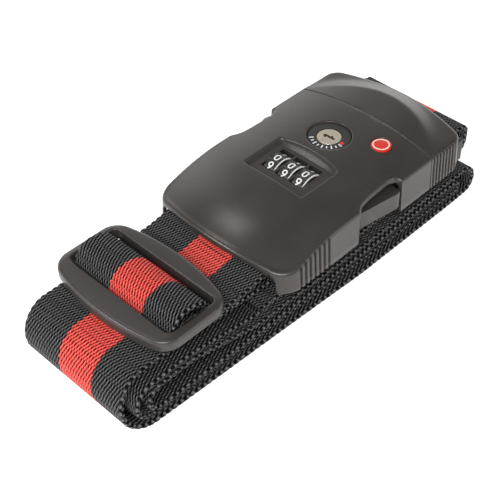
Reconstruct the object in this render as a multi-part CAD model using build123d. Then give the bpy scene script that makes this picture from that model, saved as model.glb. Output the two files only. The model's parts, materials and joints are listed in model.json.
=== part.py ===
from build123d import *
import math
import os

# Combination-lock luggage strap, coiled for storage.
# Frame: millimetres, +Z up. z = 0 is the underside of the coiled webbing.
# x = 0, y = 0 is the middle of the buckle. The webbing runs along X, the insert (male)
# half is at +X, the receiving (female) half and the adjuster are at -X.

# ---------------------------------------------------------------- dimensions
FIT = 0.05              # clearance of a part in its bore
GAP = 0.1               # working gap between neighbouring mouldings
HIGH = 40.0             # height safely above the buckle, for through cuts
BOSS_TOP = 36.0         # bosses rise to here before the cavity trims them
SIDES = (-1, 1)         # -Y and +Y side

# webbing
WEB_W, WEB_T = 50.0, 1.6

# buckle envelope
BUCKLE_L = 114.0        # overall length, both halves closed
BUCKLE_W = 67.5         # overall width
Z_BOT = 15.2            # underside of the buckle
Z_CROWN = 33.6          # highest point of the crowned top
CROWN_RX = 1000.0       # lengthwise crown radius
CROWN_RY = 140.0        # crosswise crown radius
END_R = 95.0            # bowed ends
CORNER_R = 7.5          # plan corner radius
RIM_R = 2.4             # rounding of the top rim
NOSE_L = 111.0          # twice the reach of the receiving end from the middle
NOSE_R = 10.0           # its plan corner radius
NOSE_X, NOSE_RX = -22.0, 80.5     # centre and radius of its falling crown
NOSE_SPLIT_X = NOSE_X - 3         # the falling crown applies on the -X side of this
WALL = 2.0              # cover wall thickness
FLOOR_T = 2.0           # bottom cover thickness
FLOOR_TOP = Z_BOT + FLOOR_T
SEAM_X = 31.6           # parting line of the two halves, on the centre line
SEAM_R = 900.0          # parting line radius
MOUTH_W = 53.6          # webbing mouth in each end
MOUTH_TOP = 25.0        # top of the webbing mouth

# side notches that show the latch buttons
NOTCH_X0, NOTCH_X1 = -12.0, 13.0
NOTCH_PLAN = [          # (x, distance from the centre line)
    (-13, 36), (NOTCH_X0, 33.9), (-7.0, 30.6), (-3, 30.0), (9.5, 29.6),
    (12.0, 30.4), (NOTCH_X1, 31.6), (NOTCH_X1, 36),
]

# vertical grip grooves in the side walls
GROOVE_R, GROOVE_TOP = 0.75, 27.6
GROOVE_Y = BUCKLE_W / 2 + 0.15
FEMALE_GROOVES = [-42.3 + 2.45 * i for i in range(7)]
MALE_GROOVES = [34.6 + 1.98 * i for i in range(7)]

# screws, as (x, y)
FEMALE_SCREWS = [(-38.0, 22.0), (-38.0, -22.0), (26.0, 12.9), (26.0, -12.9)]
MALE_SCREWS = [(41.0, 10.0), (41.0, -10.0)]
SCREW_L, SCREW_R = 8.0, 1.1
HEAD_R, HEAD_T = 2.3, 0.9

# combination dials
DIAL_X, DIAL_Z = -11.15, 26.0
DIAL_R = 7.0
DIAL_PITCH = 7.0
DIAL_YS = (DIAL_PITCH, 0.0, -DIAL_PITCH)
DIAL_LO, DIAL_HI = -2.6, 2.8      # faces of a dial either side of its centre
DIGITS = 10
SHAFT_R, SHAFT_HALF = 1.5, 13.6
WINDOW_X, WINDOW_L, WINDOW_W = -11.65, 20.5, 28.4
WINDOW_Z = 31.8                   # floor of the window recess

# key cylinder and its cam
KEY_X, KEY_Y = 11.6, 1.6
PLUG_R, PLUG_BOTTOM = 5.0, 20.6
BEZEL_R = 8.6
CAM_R = 2.5                       # offset of the cam pin
PIN_R = 1.0
PIN_X = KEY_X - CAM_R * math.sin(math.radians(45))
PIN_Y = KEY_Y - CAM_R * math.cos(math.radians(45))

# lock plate and the spring between its tab and a post on the floor
PLATE_Z0, PLATE_Z1 = 17.4, 18.6
PLATE_X0 = -23.0
POST_X1, POST_TOP = -28.4, 20.6

# code reset button and round badge
RESET_X, RESET_R = -36.0, 2.0
BADGE_X, BADGE_Y, BADGE_R = 21.2, -16.0, 4.0

# webbing bars
BAR_R = 2.0
FBAR_X, FBAR_Z, FBAR_HALF = -47.6, 19.5, 29.0
MBAR_X, MBAR_Z, MBAR_HALF = 50.6, 20.5, 31.0

# latch arms
ARM_PX, ARM_PY = 36.5, 27.0       # pivot of an arm
ARM_Z0, ARM_Z1 = 18.5, 26.0
ARM_PLAN = [            # (x, distance from the centre line)
    (ARM_PX, 25.9), (2.0, 25.6), (-6.5, 25.9), (-8.6, 27.0), (-8.9, 29.0), (-7.4, 30.8),
    (-3.5, 31.6), (0.5, 32.1), (4.1, 32.7), (7.5, 33.3), (10.0, 33.7), (11.7, 33.4),
    (12.2, 32.6), (12.2, 29.4), (12.8, 28.4), (ARM_PX, 28.2),
]
ARM_RELIEF = [(12.8, 24), (12.8, 29), (34, 29), (34, 24)]
ARM_HOLLOW = [(-5.0, 28.0), (-4.0, 29.6), (8.6, 30.8), (9.0, 28.0)]

# adjuster
ADJ_X, ADJ_Y, ADJ_L, ADJ_W = -86.75, 0.6, 37.6, 58.0
ADJ_Z0, ADJ_Z1 = 23.4, 28.4
ADJ_END_R, ADJ_CORNER_R = 90.0, 8.0
ADJ_SLOT_X, ADJ_SLOT_L, ADJ_SLOT_W = -85.95, 21.6, 51.2
MID_X0, MID_X1, MID_Z0, MID_Z1 = -89.0, -83.0, 22.8, 24.6     # its middle bar
LOOP_HALF = 24.0                  # half width of the sewn loop

os.makedirs("parts", exist_ok=True)


# ------------------------------------------------------------------- helpers
def save(shape, name):
    export_step(shape, "parts/" + name + ".step")


def box(x0, x1, y0, y1, z0, z1):
    return Pos((x0 + x1) / 2, (y0 + y1) / 2, (z0 + z1) / 2) * Box(x1 - x0, y1 - y0, z1 - z0)


def side_box(side, x0, x1, near, far, z0, z1):
    """Box on one side, between two distances from the centre line."""
    y0, y1 = sorted((side * near, side * far))
    return box(x0, x1, y0, y1, z0, z1)


def cyl(x, y, z0, z1, radius):
    return Pos(x, y, (z0 + z1) / 2) * Cylinder(radius, z1 - z0)


def cyl_y(x, z, y0, y1, radius):
    return Pos(x, (y0 + y1) / 2, z) * Rot(90, 0, 0) * Cylinder(radius, y1 - y0)


def side_prism(side, outline, z0, z1):
    """Upright prism on one side, from (x, distance from the centre line) points."""
    face = make_face(Polyline(*[(x, side * y) for x, y in outline], close=True))
    return extrude(Pos(0, 0, z0) * face, z1 - z0)


def largest(shape):
    return max(shape.solids(), key=lambda solid: solid.volume)


def top_edges(shape):
    return shape.faces().sort_by(Axis.Z)[-1].edges()


def bowed_plan(length, width, end_r, corner_r, inset=0.0):
    """Rectangle with bowed ends and round corners."""
    centre = length / 2 - end_r
    plan = Rectangle(length + 20, width - 2 * inset)
    for x in (-centre, centre):
        plan = plan & (Pos(x, 0) * Circle(end_r - inset))
    return fillet(plan.vertices(), corner_r - min(inset, corner_r - 1.0))


# ----------------------------------------------------------- buckle envelope
def shell_blank(inset, z0):
    """Buckle body under the doubly curved crown, all faces but the bottom inset."""
    plan = bowed_plan(BUCKLE_L, BUCKLE_W, END_R, CORNER_R, inset)
    ring = Torus(CROWN_RX - CROWN_RY, CROWN_RY - inset)
    crown = Pos(0, 0, Z_CROWN - CROWN_RX) * Rot(90, 0, 0) * ring
    return extrude(Pos(0, 0, z0) * plan, 25) & crown


def rim_rounded(solid, radius):
    """Round the rim where the crowned top meets the side walls."""
    rim = [e for e in solid.edges() if e.bounding_box().min.Z > Z_BOT + 6 and e.length > 2]
    for r in (radius, radius * 0.7, radius * 0.4):
        # guards against a radius the kernel cannot roll round the doubly curved rim
        try:
            done = fillet(rim, r)
            if done.is_valid:
                return done
        except Exception:
            continue
    return solid


def nose(inset):
    """Keeps the receiving end inside its own outline and its falling crown."""
    keep = extrude(bowed_plan(NOSE_L, BUCKLE_W, END_R, NOSE_R, inset), 60)
    ring = Torus(CROWN_RY - NOSE_RX, NOSE_RX - inset)
    fall = Pos(NOSE_X, 0, Z_CROWN - CROWN_RY) * Rot(0, 90, 0) * ring
    return keep & (
        box(NOSE_SPLIT_X, 80, -50, 50, 0, 60) + (fall & box(-80, NOSE_SPLIT_X, -50, 50, 0, 60))
    )


def seam(offset):
    """Large upright cylinder whose +X side is the parting line."""
    return cyl(SEAM_X - SEAM_R, 0, 0, 50, SEAM_R + offset)


def floor_blank():
    """Bottom plate of both halves, fitting inside the cover walls."""
    plan = bowed_plan(BUCKLE_L, BUCKLE_W, END_R, CORNER_R, WALL + GAP)
    return extrude(Pos(0, 0, Z_BOT) * plan, FLOOR_T)


outer = shell_blank(0, Z_BOT)
cavity = shell_blank(WALL, Z_BOT - 3)
seam_female, seam_male = seam(-GAP), seam(GAP)
female_cavity = cavity & nose(WALL)
outer = rim_rounded(outer, RIM_R)
female_outer = outer & nose(0)
floor = floor_blank()


# --------------------------------------------- features shared by both halves
def cut_grooves(cover, xs):
    """Upright grooves with round tops in both side walls."""
    for x in xs:
        for side in SIDES:
            cover -= cyl(x, side * GROOVE_Y, Z_BOT - 1, GROOVE_TOP, GROOVE_R)
            cover -= Pos(x, side * GROOVE_Y, GROOVE_TOP) * Sphere(GROOVE_R)
    return cover


def add_bosses(cover, screws, radius, inside):
    for x, y in screws:
        cover += cyl(x, y, FLOOR_TOP + 0.05, BOSS_TOP, radius) & inside
    return cover


def cut_pilots(cover, screws):
    for x, y in screws:
        cover -= cyl(x, y, Z_BOT, 24.2, 1.15)
    return cover


def cut_screw_holes(bottom, screws):
    """Through holes with counterbores from below."""
    for x, y in screws:
        bottom -= cyl(x, y, Z_BOT - 1, 20, 1.25)
        bottom -= cyl(x, y, Z_BOT - 1, Z_BOT + 1.0, 2.45)
    return bottom


def screw(x, y):
    """Cross-head screw, head down."""
    z0 = Z_BOT + 0.08
    body = cyl(x, y, z0, z0 + HEAD_T, HEAD_R) + cyl(x, y, z0 + HEAD_T, z0 + SCREW_L, SCREW_R)
    for half_x, half_y in ((1.4, 0.25), (0.25, 1.4)):
        body -= box(x - half_x, x + half_x, y - half_y, y + half_y, z0 - 1, z0 + 0.55)
    return largest(body)


def screw_set(screws):
    return Compound(children=[screw(x, y) for x, y in screws])


# ------------------------------------------------------------- receiving half
def female_top_cover():
    cover = (female_outer & seam_female) - female_cavity
    # bearing blocks for the webbing bar
    for side in SIDES:
        block = side_box(side, -50.6, -43.6, 27.2, 31.4, Z_BOT + 0.8, 26.0)
        cover += block & female_outer
    # pad under the dial window, dial shaft brackets and cylinder boss
    cover += box(-23.6, 0.4, -16.0, 16.0, 30.2, BOSS_TOP) & female_cavity
    for side in SIDES:
        cover += side_box(side, DIAL_X - 2.6, DIAL_X + 2.6, 11.2, SHAFT_HALF, 23.2, 30.4)
    cover += cyl(KEY_X, KEY_Y, 26.0, BOSS_TOP, BEZEL_R + 1.9) & female_cavity
    cover = add_bosses(cover, FEMALE_SCREWS, 2.7, female_cavity)
    # seat of the reset spring
    cover += cyl(RESET_X, 0.0, 22.2, BOSS_TOP, 3.0) & female_cavity
    # webbing mouth, window recess, dial openings, shaft and cylinder bores
    cover -= box(-60, -48.6, -MOUTH_W / 2, MOUTH_W / 2, Z_BOT - 1, MOUTH_TOP - 0.8)
    window = RectangleRounded(WINDOW_L, WINDOW_W, 2.2)
    cover -= extrude(Pos(WINDOW_X, 0, WINDOW_Z) * window, 5)
    for y in reversed(DIAL_YS):
        cover -= box(DIAL_X - 6.25, DIAL_X + 6.25, y - 2.95, y + 3.05, 28, HIGH)
    cover -= cyl_y(DIAL_X, DIAL_Z, -15, 15, SHAFT_R + FIT)
    cover -= cyl(KEY_X, KEY_Y, 20, HIGH, BEZEL_R + FIT)
    for side in SIDES:
        cover -= side_prism(side, NOTCH_PLAN, Z_BOT - 1, HIGH)
    cover = cut_grooves(cover, FEMALE_GROOVES)
    cover = cut_pilots(cover, FEMALE_SCREWS)
    cover -= cyl_y(FBAR_X, FBAR_Z, -FBAR_HALF - FIT, FBAR_HALF + FIT, BAR_R + FIT)
    # badge recess
    cover -= cyl(BADGE_X, BADGE_Y, 31.6, HIGH, BADGE_R + 0.1)
    return largest(cover)


def female_bottom_cover():
    bottom = (floor & seam_female) - box(-60, -42.5, -40, 40, 0, HIGH)
    for side in SIDES:
        bottom -= side_box(side, NOTCH_X0, NOTCH_X1 + 0.4, 29.2, 40, 0, HIGH)
        # guide ribs beside the arms
        bottom += side_box(side, 4.0, 20.0, 14.9, 15.7, FLOOR_TOP - 0.5, 21.0)
    # post for the lock spring
    bottom += box(POST_X1 - 1.0, POST_X1, -3.0, 3.0, FLOOR_TOP - 0.5, POST_TOP)
    bottom = cut_screw_holes(bottom, FEMALE_SCREWS)
    bottom -= cyl(RESET_X, 0.0, 0, 20, RESET_R + FIT)
    return largest(bottom)


save(female_top_cover(), "female_top_cover")
save(female_bottom_cover(), "female_bottom_cover")
save(screw_set(FEMALE_SCREWS), "female_screws")
save(cyl_y(FBAR_X, FBAR_Z, -FBAR_HALF, FBAR_HALF, BAR_R), "female_webbing_bar")
save(cyl_y(MBAR_X, MBAR_Z, -MBAR_HALF, MBAR_HALF, BAR_R), "male_webbing_bar")


# -------------------------------------------------------- combination lock
def dial_wheel(y):
    """Bored dial with a groove between each pair of digits."""
    wheel = cyl_y(DIAL_X, DIAL_Z, y + DIAL_LO, y + DIAL_HI, DIAL_R)
    wheel = chamfer(wheel.edges().filter_by(GeomType.CIRCLE), 0.3)
    wheel -= cyl_y(DIAL_X, DIAL_Z, y - 5, y + 5, 3.25)
    reach = DIAL_R + 0.25
    for k in range(DIGITS):
        angle = math.radians(360 / DIGITS * (k + 0.5))
        wheel -= cyl_y(DIAL_X + reach * math.sin(angle), DIAL_Z + reach * math.cos(angle),
                       y - 5, y + 5, 0.6)
    return largest(wheel)


def dial_cam(y):
    """Flanged sleeve inside a dial, with a gate for the lock plate finger."""
    sleeve = cyl_y(DIAL_X, DIAL_Z, y - 3.5, y + DIAL_HI, 3.2)
    sleeve += cyl_y(DIAL_X, DIAL_Z, y - 3.5, y - 2.7, 4.1)
    sleeve -= cyl_y(DIAL_X, DIAL_Z, y - 5, y + 5, SHAFT_R + 0.08)
    sleeve -= box(DIAL_X - 1.0, DIAL_X + 1.0, y - 5, y - 2.75, DIAL_Z - 5, DIAL_Z - 3.4)
    return largest(sleeve)


def detent_leaf():
    """Slotted leaf spring that clicks on the dial grooves."""
    leaf = box(-19.4, -18.9, -10.4, 10.4, 21.4, 30.1)
    for y in (-DIAL_PITCH / 2, DIAL_PITCH / 2):
        leaf -= box(-20, -18, y - 0.5, y + 0.5, 20, 28.0)
    return largest(leaf)


def lock_plate():
    """Sliding plate with cross bar, spring tab, dial fingers and cam slot."""
    plate = box(PLATE_X0, 21.5, -8.8, 8.8, PLATE_Z0, PLATE_Z1)
    plate += box(-1.0, 3.0, -14.6, 14.6, PLATE_Z0, PLATE_Z1)
    plate += box(PLATE_X0, PLATE_X0 + 1.0, -3.0, 3.0, PLATE_Z0, POST_TOP)
    for y in DIAL_YS:
        plate += box(DIAL_X - 0.8, DIAL_X + 0.8, y - 3.45, y - 2.8, PLATE_Z1 - 0.3, 21.75)
    plate -= box(PIN_X - PIN_R - 0.2, PIN_X + PIN_R + 0.2,
                 KEY_Y - CAM_R - PIN_R - 0.3, PIN_Y + PIN_R + 0.3, 0, HIGH)
    return largest(plate)


def cylinder_housing():
    bezel = cyl(KEY_X, KEY_Y, 22.0, 33.0, BEZEL_R)
    bezel = chamfer(top_edges(bezel), 0.4)
    bezel -= cyl(KEY_X, KEY_Y, 20, HIGH, PLUG_R + FIT)
    return largest(bezel)


def key_plug():
    plug = cyl(KEY_X, KEY_Y, PLUG_BOTTOM, 32.8, PLUG_R)
    plug = chamfer(top_edges(plug), 0.3)
    # keyway: a slot and a widening on each side, as x0, x1, y0, y1 from the plug axis
    for x0, x1, y0, y1 in ((-0.5, 0.5, -2.7, 2.5), (-0.2, 1.1, -1.5, -0.4), (-1.2, 0.2, 0.9, 2.1)):
        plug -= box(KEY_X + x0, KEY_X + x1, KEY_Y + y0, KEY_Y + y1, 25.0, HIGH)
    return largest(plug)


def key_cam():
    cam = cyl(KEY_X, KEY_Y, 19.2, PLUG_BOTTOM - FIT, 3.6)
    cam += cyl(PIN_X, PIN_Y, 17.5, 19.6, PIN_R)
    return largest(cam)


def spring(radius, wire_r, z0, z1, turns):
    """Compression spring standing on the XY plane along +Z."""
    height = z1 - z0 - 2 * wire_r
    path = Helix(pitch=height / turns, height=height, radius=radius)
    profile = Plane(origin=path @ 0, z_dir=path % 0) * Circle(wire_r)
    return Pos(0, 0, z0 + wire_r) * sweep(profile, path=path, is_frenet=True)


def reset_button():
    """Stepped button in the underside, pushed in with a pen tip."""
    return largest(cyl(RESET_X, 0, 15.6, 18.0, RESET_R) + cyl(RESET_X, 0, 17.3, 18.0, 2.9))


def cover_badge():
    badge = cyl(BADGE_X, BADGE_Y, 31.65, 32.5, BADGE_R)
    return chamfer(top_edges(badge), 0.2)


save(cyl_y(DIAL_X, DIAL_Z, -SHAFT_HALF, SHAFT_HALF, SHAFT_R), "dial_shaft")
for number, dial_y in enumerate(DIAL_YS, start=1):
    save(dial_wheel(dial_y), "dial_wheel_%d" % number)
    save(dial_cam(dial_y), "dial_cam_%d" % number)
save(detent_leaf(), "detent_leaf_spring")
save(lock_plate(), "lock_plate")
save(cylinder_housing(), "cylinder_housing")
save(key_plug(), "key_plug")
save(key_cam(), "key_cam")
lock_spring_place = Pos(POST_X1 + FIT, 0, 19.6) * Rot(0, 90, 0)
save(lock_spring_place * spring(0.75, 0.18, 0.0, 5.25, turns=6), "lock_spring")
save(reset_button(), "reset_button")
save(Pos(RESET_X, 0, 0) * spring(1.9, 0.22, 18.05, 22.15, turns=4), "reset_spring")
save(cover_badge(), "cover_badge")


# ---------------------------------------------------------------- insert half
def male_top_cover():
    cover = (outer - seam_male) - cavity
    # bearing blocks for the webbing bar
    for side in SIDES:
        block = side_box(side, 47.4, 54.0, 27.2, 32.2, Z_BOT + 0.8, 26.5)
        cover += block & shell_blank(0.6, Z_BOT)
    cover = add_bosses(cover, MALE_SCREWS, 2.6, cavity)
    # webbing mouth
    cover -= box(50.6, 62, -MOUTH_W / 2, MOUTH_W / 2, Z_BOT - 1, MOUTH_TOP)
    cover = cut_grooves(cover, MALE_GROOVES)
    cover = cut_pilots(cover, MALE_SCREWS)
    cover -= cyl_y(MBAR_X, MBAR_Z, -MBAR_HALF - FIT, MBAR_HALF + FIT, BAR_R + FIT)
    return largest(cover)


def male_bottom_cover():
    bottom = (floor - seam_male) - box(45.6, 70, -40, 40, 0, HIGH)
    return largest(cut_screw_holes(bottom, MALE_SCREWS))


def male_frame():
    """Root block, two guide rails and sockets for the latch arms."""
    frame = box(33.4, 46.0, -30.9, 30.9, 17.3, 26.2)
    for side in SIDES:
        frame += side_box(side, -2.0, 34.0, 16.2, 19.0, 18.9, 25.0)
        frame -= cyl(ARM_PX, side * ARM_PY, 0, HIGH, 2.45)
        frame -= side_box(side, 30.0, ARM_PX, 24.3, 28.5, 0, HIGH)
    for x, y in MALE_SCREWS:
        frame -= cyl(x, y, 0, HIGH, 2.7)
    frame -= box(36.5, 47.0, -6.0, 6.0, 19.5, HIGH)
    return largest(frame)


def latch_arm(side):
    arm = side_prism(side, ARM_PLAN, ARM_Z0, ARM_Z1)
    arm -= side_prism(side, ARM_RELIEF, ARM_Z1 - 1.0, ARM_Z1 + 1)
    arm += cyl(ARM_PX, side * ARM_PY, ARM_Z0, ARM_Z1, 2.4)
    # hollow behind the button
    arm -= side_prism(side, ARM_HOLLOW, ARM_Z0 - 1, ARM_Z1 - 2.2)
    return largest(arm)


save(male_top_cover(), "male_top_cover")
save(male_bottom_cover(), "male_bottom_cover")
save(screw_set(MALE_SCREWS), "male_screws")
save(male_frame(), "male_frame")
save(latch_arm(1), "latch_arm_left")
save(latch_arm(-1), "latch_arm_right")


# ------------------------------------------------------------------ adjuster
def adjuster_frame():
    """Slotted frame with a middle bar across the slot."""
    plan = bowed_plan(ADJ_L, ADJ_W, ADJ_END_R, ADJ_CORNER_R)
    frame = extrude(Pos(ADJ_X, ADJ_Y, ADJ_Z0) * plan, ADJ_Z1 - ADJ_Z0)
    frame = fillet(top_edges(frame), 1.4)
    frame = chamfer(frame.faces().sort_by(Axis.Z)[0].edges(), 0.5)
    slot = RectangleRounded(ADJ_SLOT_L, ADJ_SLOT_W, 2.5)
    frame -= extrude(Pos(ADJ_SLOT_X, ADJ_Y, ADJ_Z0 - 1) * slot, 8)
    reach = ADJ_SLOT_W / 2 + 1
    frame += box(MID_X0, MID_X1, ADJ_Y - reach, ADJ_Y + reach, MID_Z0, MID_Z1)
    return largest(frame)


def sewn_loop():
    """Sewn end of the strap, looped round the adjuster's middle bar."""
    loop = box(-90.8, -81.7, ADJ_Y - LOOP_HALF, ADJ_Y + LOOP_HALF, 21.4, 28.5)
    loop = fillet(loop.edges().filter_by(Axis.Y).group_by(Axis.Z)[-1], 3.0)
    loop = fillet(loop.edges().filter_by(Axis.Y).group_by(Axis.Z)[0], 1.2)
    loop -= box(MID_X0 - FIT, MID_X1 + FIT, -30, 30, MID_Z0 - FIT, MID_Z1 + FIT)
    return largest(loop)


save(adjuster_frame(), "adjuster_frame")
save(sewn_loop(), "adjuster_sewn_loop")


# ------------------------------------------------------------------- webbing
def arc(cx, cz, radius, start, end, y, steps=12, end_y=None):
    """Points (x, z, y) along an arc in degrees, drifting sideways from y to end_y."""
    end_y = y if end_y is None else end_y
    points = []
    for i in range(steps + 1):
        angle = math.radians(start + (end - start) * i / steps)
        points.append((cx + radius * math.cos(angle), cz + radius * math.sin(angle),
                       y + (end_y - y) * i / steps))
    return points


def polygon(*points):
    return Face(Wire.make_polygon(list(points), close=True))


def ribbon(path):
    """Closed band of webbing along a centre line of (x, z, lateral shift)."""
    line = [path[0]]
    for point in path[1:]:
        # near-coincident points have no usable direction
        if math.dist(point[:2], line[-1][:2]) > 0.05:
            line.append(point)
    count = len(line)
    dirs = []
    for start, end in zip(line, line[1:]):
        dx, dz = end[0] - start[0], end[1] - start[1]
        length = math.hypot(dx, dz)
        dirs.append((dx / length, dz / length))

    def edge_point(x, y, z, side):
        return Vector(x, y + side * WEB_W / 2, z)

    # top and bottom point at each station, keyed by side
    top, bottom = [], []
    for i, (x, z, y) in enumerate(line):
        near = dirs[max(i - 1, 0):i + 1]
        tx, tz = sum(d[0] for d in near), sum(d[1] for d in near)
        length = math.hypot(tx, tz)
        tx, tz = tx / length, tz / length
        # mitred half thickness, limited at sharp bends
        half = WEB_T / 2 / max(0.6, near[0][0] * tx + near[0][1] * tz)
        top.append({s: edge_point(x - tz * half, y, z + tx * half, s) for s in SIDES})
        bottom.append({s: edge_point(x + tz * half, y, z - tx * half, s) for s in SIDES})

    faces = []
    for i in range(count - 1):
        a, b, c, d = top[i], top[i + 1], bottom[i], bottom[i + 1]
        faces.append(polygon(a[-1], b[-1], b[1], a[1]))
        faces.append(polygon(c[1], d[1], d[-1], c[-1]))
        # side walls in triangles, as their four corners may not be coplanar
        for s in SIDES:
            faces.append(polygon(a[s], b[s], d[s]))
            faces.append(polygon(a[s], d[s], c[s]))
    for i in (0, count - 1):
        faces.append(polygon(top[i][-1], top[i][1], bottom[i][1], bottom[i][-1]))
    body = Solid(Shell(faces))
    # an inside-out shell is turned round
    if body.volume < 0:
        body = Solid(body.wrapped.Reversed())
    return body


def stitches(xs, z, length):
    return Compound(children=[
        box(x - length / 2, x + length / 2, y - 0.3, y + 0.3, z, z + 0.3)
        for x in xs for y in (-21, -10.5, 0, 10.5, 21)
    ])


WRAP_R = BAR_R + WEB_T / 2 + 0.1     # webbing centre line round a bar

# centre lines as (x, z, lateral shift)
COIL_PATH = (
    [(-79.0, 18.45, 0), (-66.0, 18.2, 0), (-57.0, 16.9, 0)]
    + arc(FBAR_X, FBAR_Z, WRAP_R, -90, 90, 0)
    + [(-53.5, 22.2, 0), (-60.5, 20.3, 0), (-62.5, 20.2, 0)]
    + arc(-111.0, 10.5, 9.7, 90, 270, 0, 18, -3.8)
    + [(-60.0, 0.8, -5.2), (-38.0, 0.8, -6.6), (-10.0, 0.8, -9.0), (44.0, 0.8, -10.6)]
    + arc(55.5, 5.4, 4.6, -90, 90, -10.6, 14, -9.0)
    + [(-45.0, 8.6, -6), (-60.0, 8.6, -6), (-90.0, 14.8, -5)]
    + arc(-105.5, 9.6, 5.2, 90, 270, -5, 14)
    + [(-60.0, 4.5, -6)]
    + arc(50.0, 4.35, 1.65, 90, -90, -8.5, 8, -9.5)
    + [(-60.0, 2.65, -6)]
    + arc(-108.5, 9.6, 7.0, 270, 90, -4.5, 16, -4)
    + [(-90.0, 16.6, -4), (-60.0, 11.2, -4), (44.8, 12.0, 0)]
)
MALE_PATH = (
    [(45.2, 12.0, 0)]
    + arc(58.6, 16.4, 4.4, -90, 0, 0, 8)
    + arc(59.8, 20.2, 3.2, 0, 90, 0, 8)
    + arc(MBAR_X, MBAR_Z, WRAP_R, 90, 270, 0)
    + arc(57.2, 15.7, 1.8, 90, -90, -1, 10)
    + [(20.0, 13.9, -5), (-59.0, 13.9, -5)]
)
# hump over the adjuster, as (x, z)
HUMP = [
    (-101.0, 22.0), (-96.8, 22.05), (-95.4, 22.5), (-94.7, 23.8), (-94.1, 26.0), (-93.0, 28.3),
    (-91.4, 30.1), (-89.3, 31.1), (-87.0, 31.4), (-84.7, 31.15), (-82.4, 30.4), (-80.2, 29.0),
    (-78.5, 27.0), (-77.4, 24.8), (-76.9, 23.2), (-75.9, 22.3), (-74.4, 22.0), (-72.0, 22.0),
]

save(ribbon(COIL_PATH), "coiled_webbing")
save(ribbon(MALE_PATH), "male_end_webbing")
save(ribbon([(x, z, ADJ_Y) for x, z in HUMP]), "adjuster_webbing")
save(stitches([-77.5 + 3.2 * i for i in range(4)], 16.95, length=2.2), "sewn_end_stitching")
save(stitches([48.5 + 2.6 * i for i in range(3)], 24.22, length=1.8), "insert_loop_stitching")
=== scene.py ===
# A webbing buckle with three code dials and a lock ring, on a coiled strap, with a three-bar adjuster.
# It lies flat on the floor: length along X, width along Y, top face towards +Z.
# The receiving (female) half is at -X, the insert (male) half at +X, and the
# adjuster lies beyond the receiving half. Sizes are in millimetres until MM turns them into metres.
import json
import math
from contextlib import contextmanager

import bpy
import bmesh
import numpy as np
from mathutils import Matrix, Vector


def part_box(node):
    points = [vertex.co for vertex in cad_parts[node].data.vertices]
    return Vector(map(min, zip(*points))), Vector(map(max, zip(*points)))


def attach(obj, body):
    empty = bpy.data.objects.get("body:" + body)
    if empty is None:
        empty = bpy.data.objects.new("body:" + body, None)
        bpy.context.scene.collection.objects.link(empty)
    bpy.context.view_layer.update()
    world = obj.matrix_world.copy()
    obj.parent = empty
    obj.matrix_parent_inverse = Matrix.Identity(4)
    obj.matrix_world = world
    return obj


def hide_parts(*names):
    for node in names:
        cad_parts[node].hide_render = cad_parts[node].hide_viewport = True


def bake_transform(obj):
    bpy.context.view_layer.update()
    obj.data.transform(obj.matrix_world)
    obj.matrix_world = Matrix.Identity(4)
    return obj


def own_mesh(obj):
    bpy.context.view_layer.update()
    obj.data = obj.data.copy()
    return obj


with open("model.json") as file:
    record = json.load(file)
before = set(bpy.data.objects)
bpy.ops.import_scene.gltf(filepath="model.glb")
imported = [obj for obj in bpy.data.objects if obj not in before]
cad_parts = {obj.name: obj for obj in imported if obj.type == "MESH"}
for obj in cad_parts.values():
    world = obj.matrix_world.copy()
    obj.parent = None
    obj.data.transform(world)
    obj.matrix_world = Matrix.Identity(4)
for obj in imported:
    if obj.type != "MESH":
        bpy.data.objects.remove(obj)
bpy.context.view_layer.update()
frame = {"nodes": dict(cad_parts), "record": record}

MM = 0.001
scene = bpy.context.scene
nodes = frame["nodes"]


def mm_box(node):
    """Lower and upper corner of a CAD piece."""
    low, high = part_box(node)
    return np.array(low) / MM, np.array(high) / MM


def place(ob, body, replaces=None):
    """Tells the frame which body a piece rides on and what it replaces."""
    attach(ob, body)
    if replaces:
        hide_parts(replaces)
    return ob


# ------------------------------------------------------------------ mesh tools
def shade(mesh, smooth=True):
    mesh.polygons.foreach_set("use_smooth", np.full(len(mesh.polygons), smooth, bool))


def mark_sharp(ob, angle):
    ob.data.set_sharp_from_angle(angle=math.radians(angle))


def add_mesh(name, verts, faces, smooth=True):
    """Object from points and either an array of equal faces or a list of mixed ones."""
    mesh = bpy.data.meshes.new(name)
    verts = np.asarray(verts, float) * MM
    if isinstance(faces, np.ndarray):
        count, corners = faces.shape
        total = count * corners
        mesh.vertices.add(len(verts))
        mesh.vertices.foreach_set("co", verts.astype(np.float32).ravel())
        mesh.loops.add(total)
        mesh.loops.foreach_set("vertex_index", faces.astype(np.int32).ravel())
        mesh.polygons.add(count)
        starts = np.arange(0, total, corners, dtype=np.int32)
        mesh.polygons.foreach_set("loop_start", starts)
    else:
        mesh.from_pydata(verts.tolist(), [], faces)
    mesh.update(calc_edges=True)
    mesh.validate()
    shade(mesh, smooth)
    ob = bpy.data.objects.new(name, mesh)
    scene.collection.objects.link(ob)
    return ob


@contextmanager
def editing(ob):
    """Opens the mesh for editing, then turns its normals outwards and stores it."""
    bm = bmesh.new()
    bm.from_mesh(ob.data)
    yield bm
    bmesh.ops.recalc_face_normals(bm, faces=bm.faces)
    bm.to_mesh(ob.data)
    bm.free()


def fill_holes(bm):
    bmesh.ops.holes_fill(bm, edges=[e for e in bm.edges if e.is_boundary], sides=0)


def fix_normals(ob):
    with editing(ob) as bm:
        bmesh.ops.remove_doubles(bm, verts=bm.verts, dist=1e-7)


def ring_faces(ring_count, n):
    """Quads between rings of n points each, closed round the ring."""
    start = np.arange(ring_count - 1)[:, None] * n
    j = np.arange(n)[None, :]
    a = start + j
    b = start + (j + 1) % n
    return np.stack([a, b, b + n, a + n], -1).reshape(-1, 4)


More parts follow.
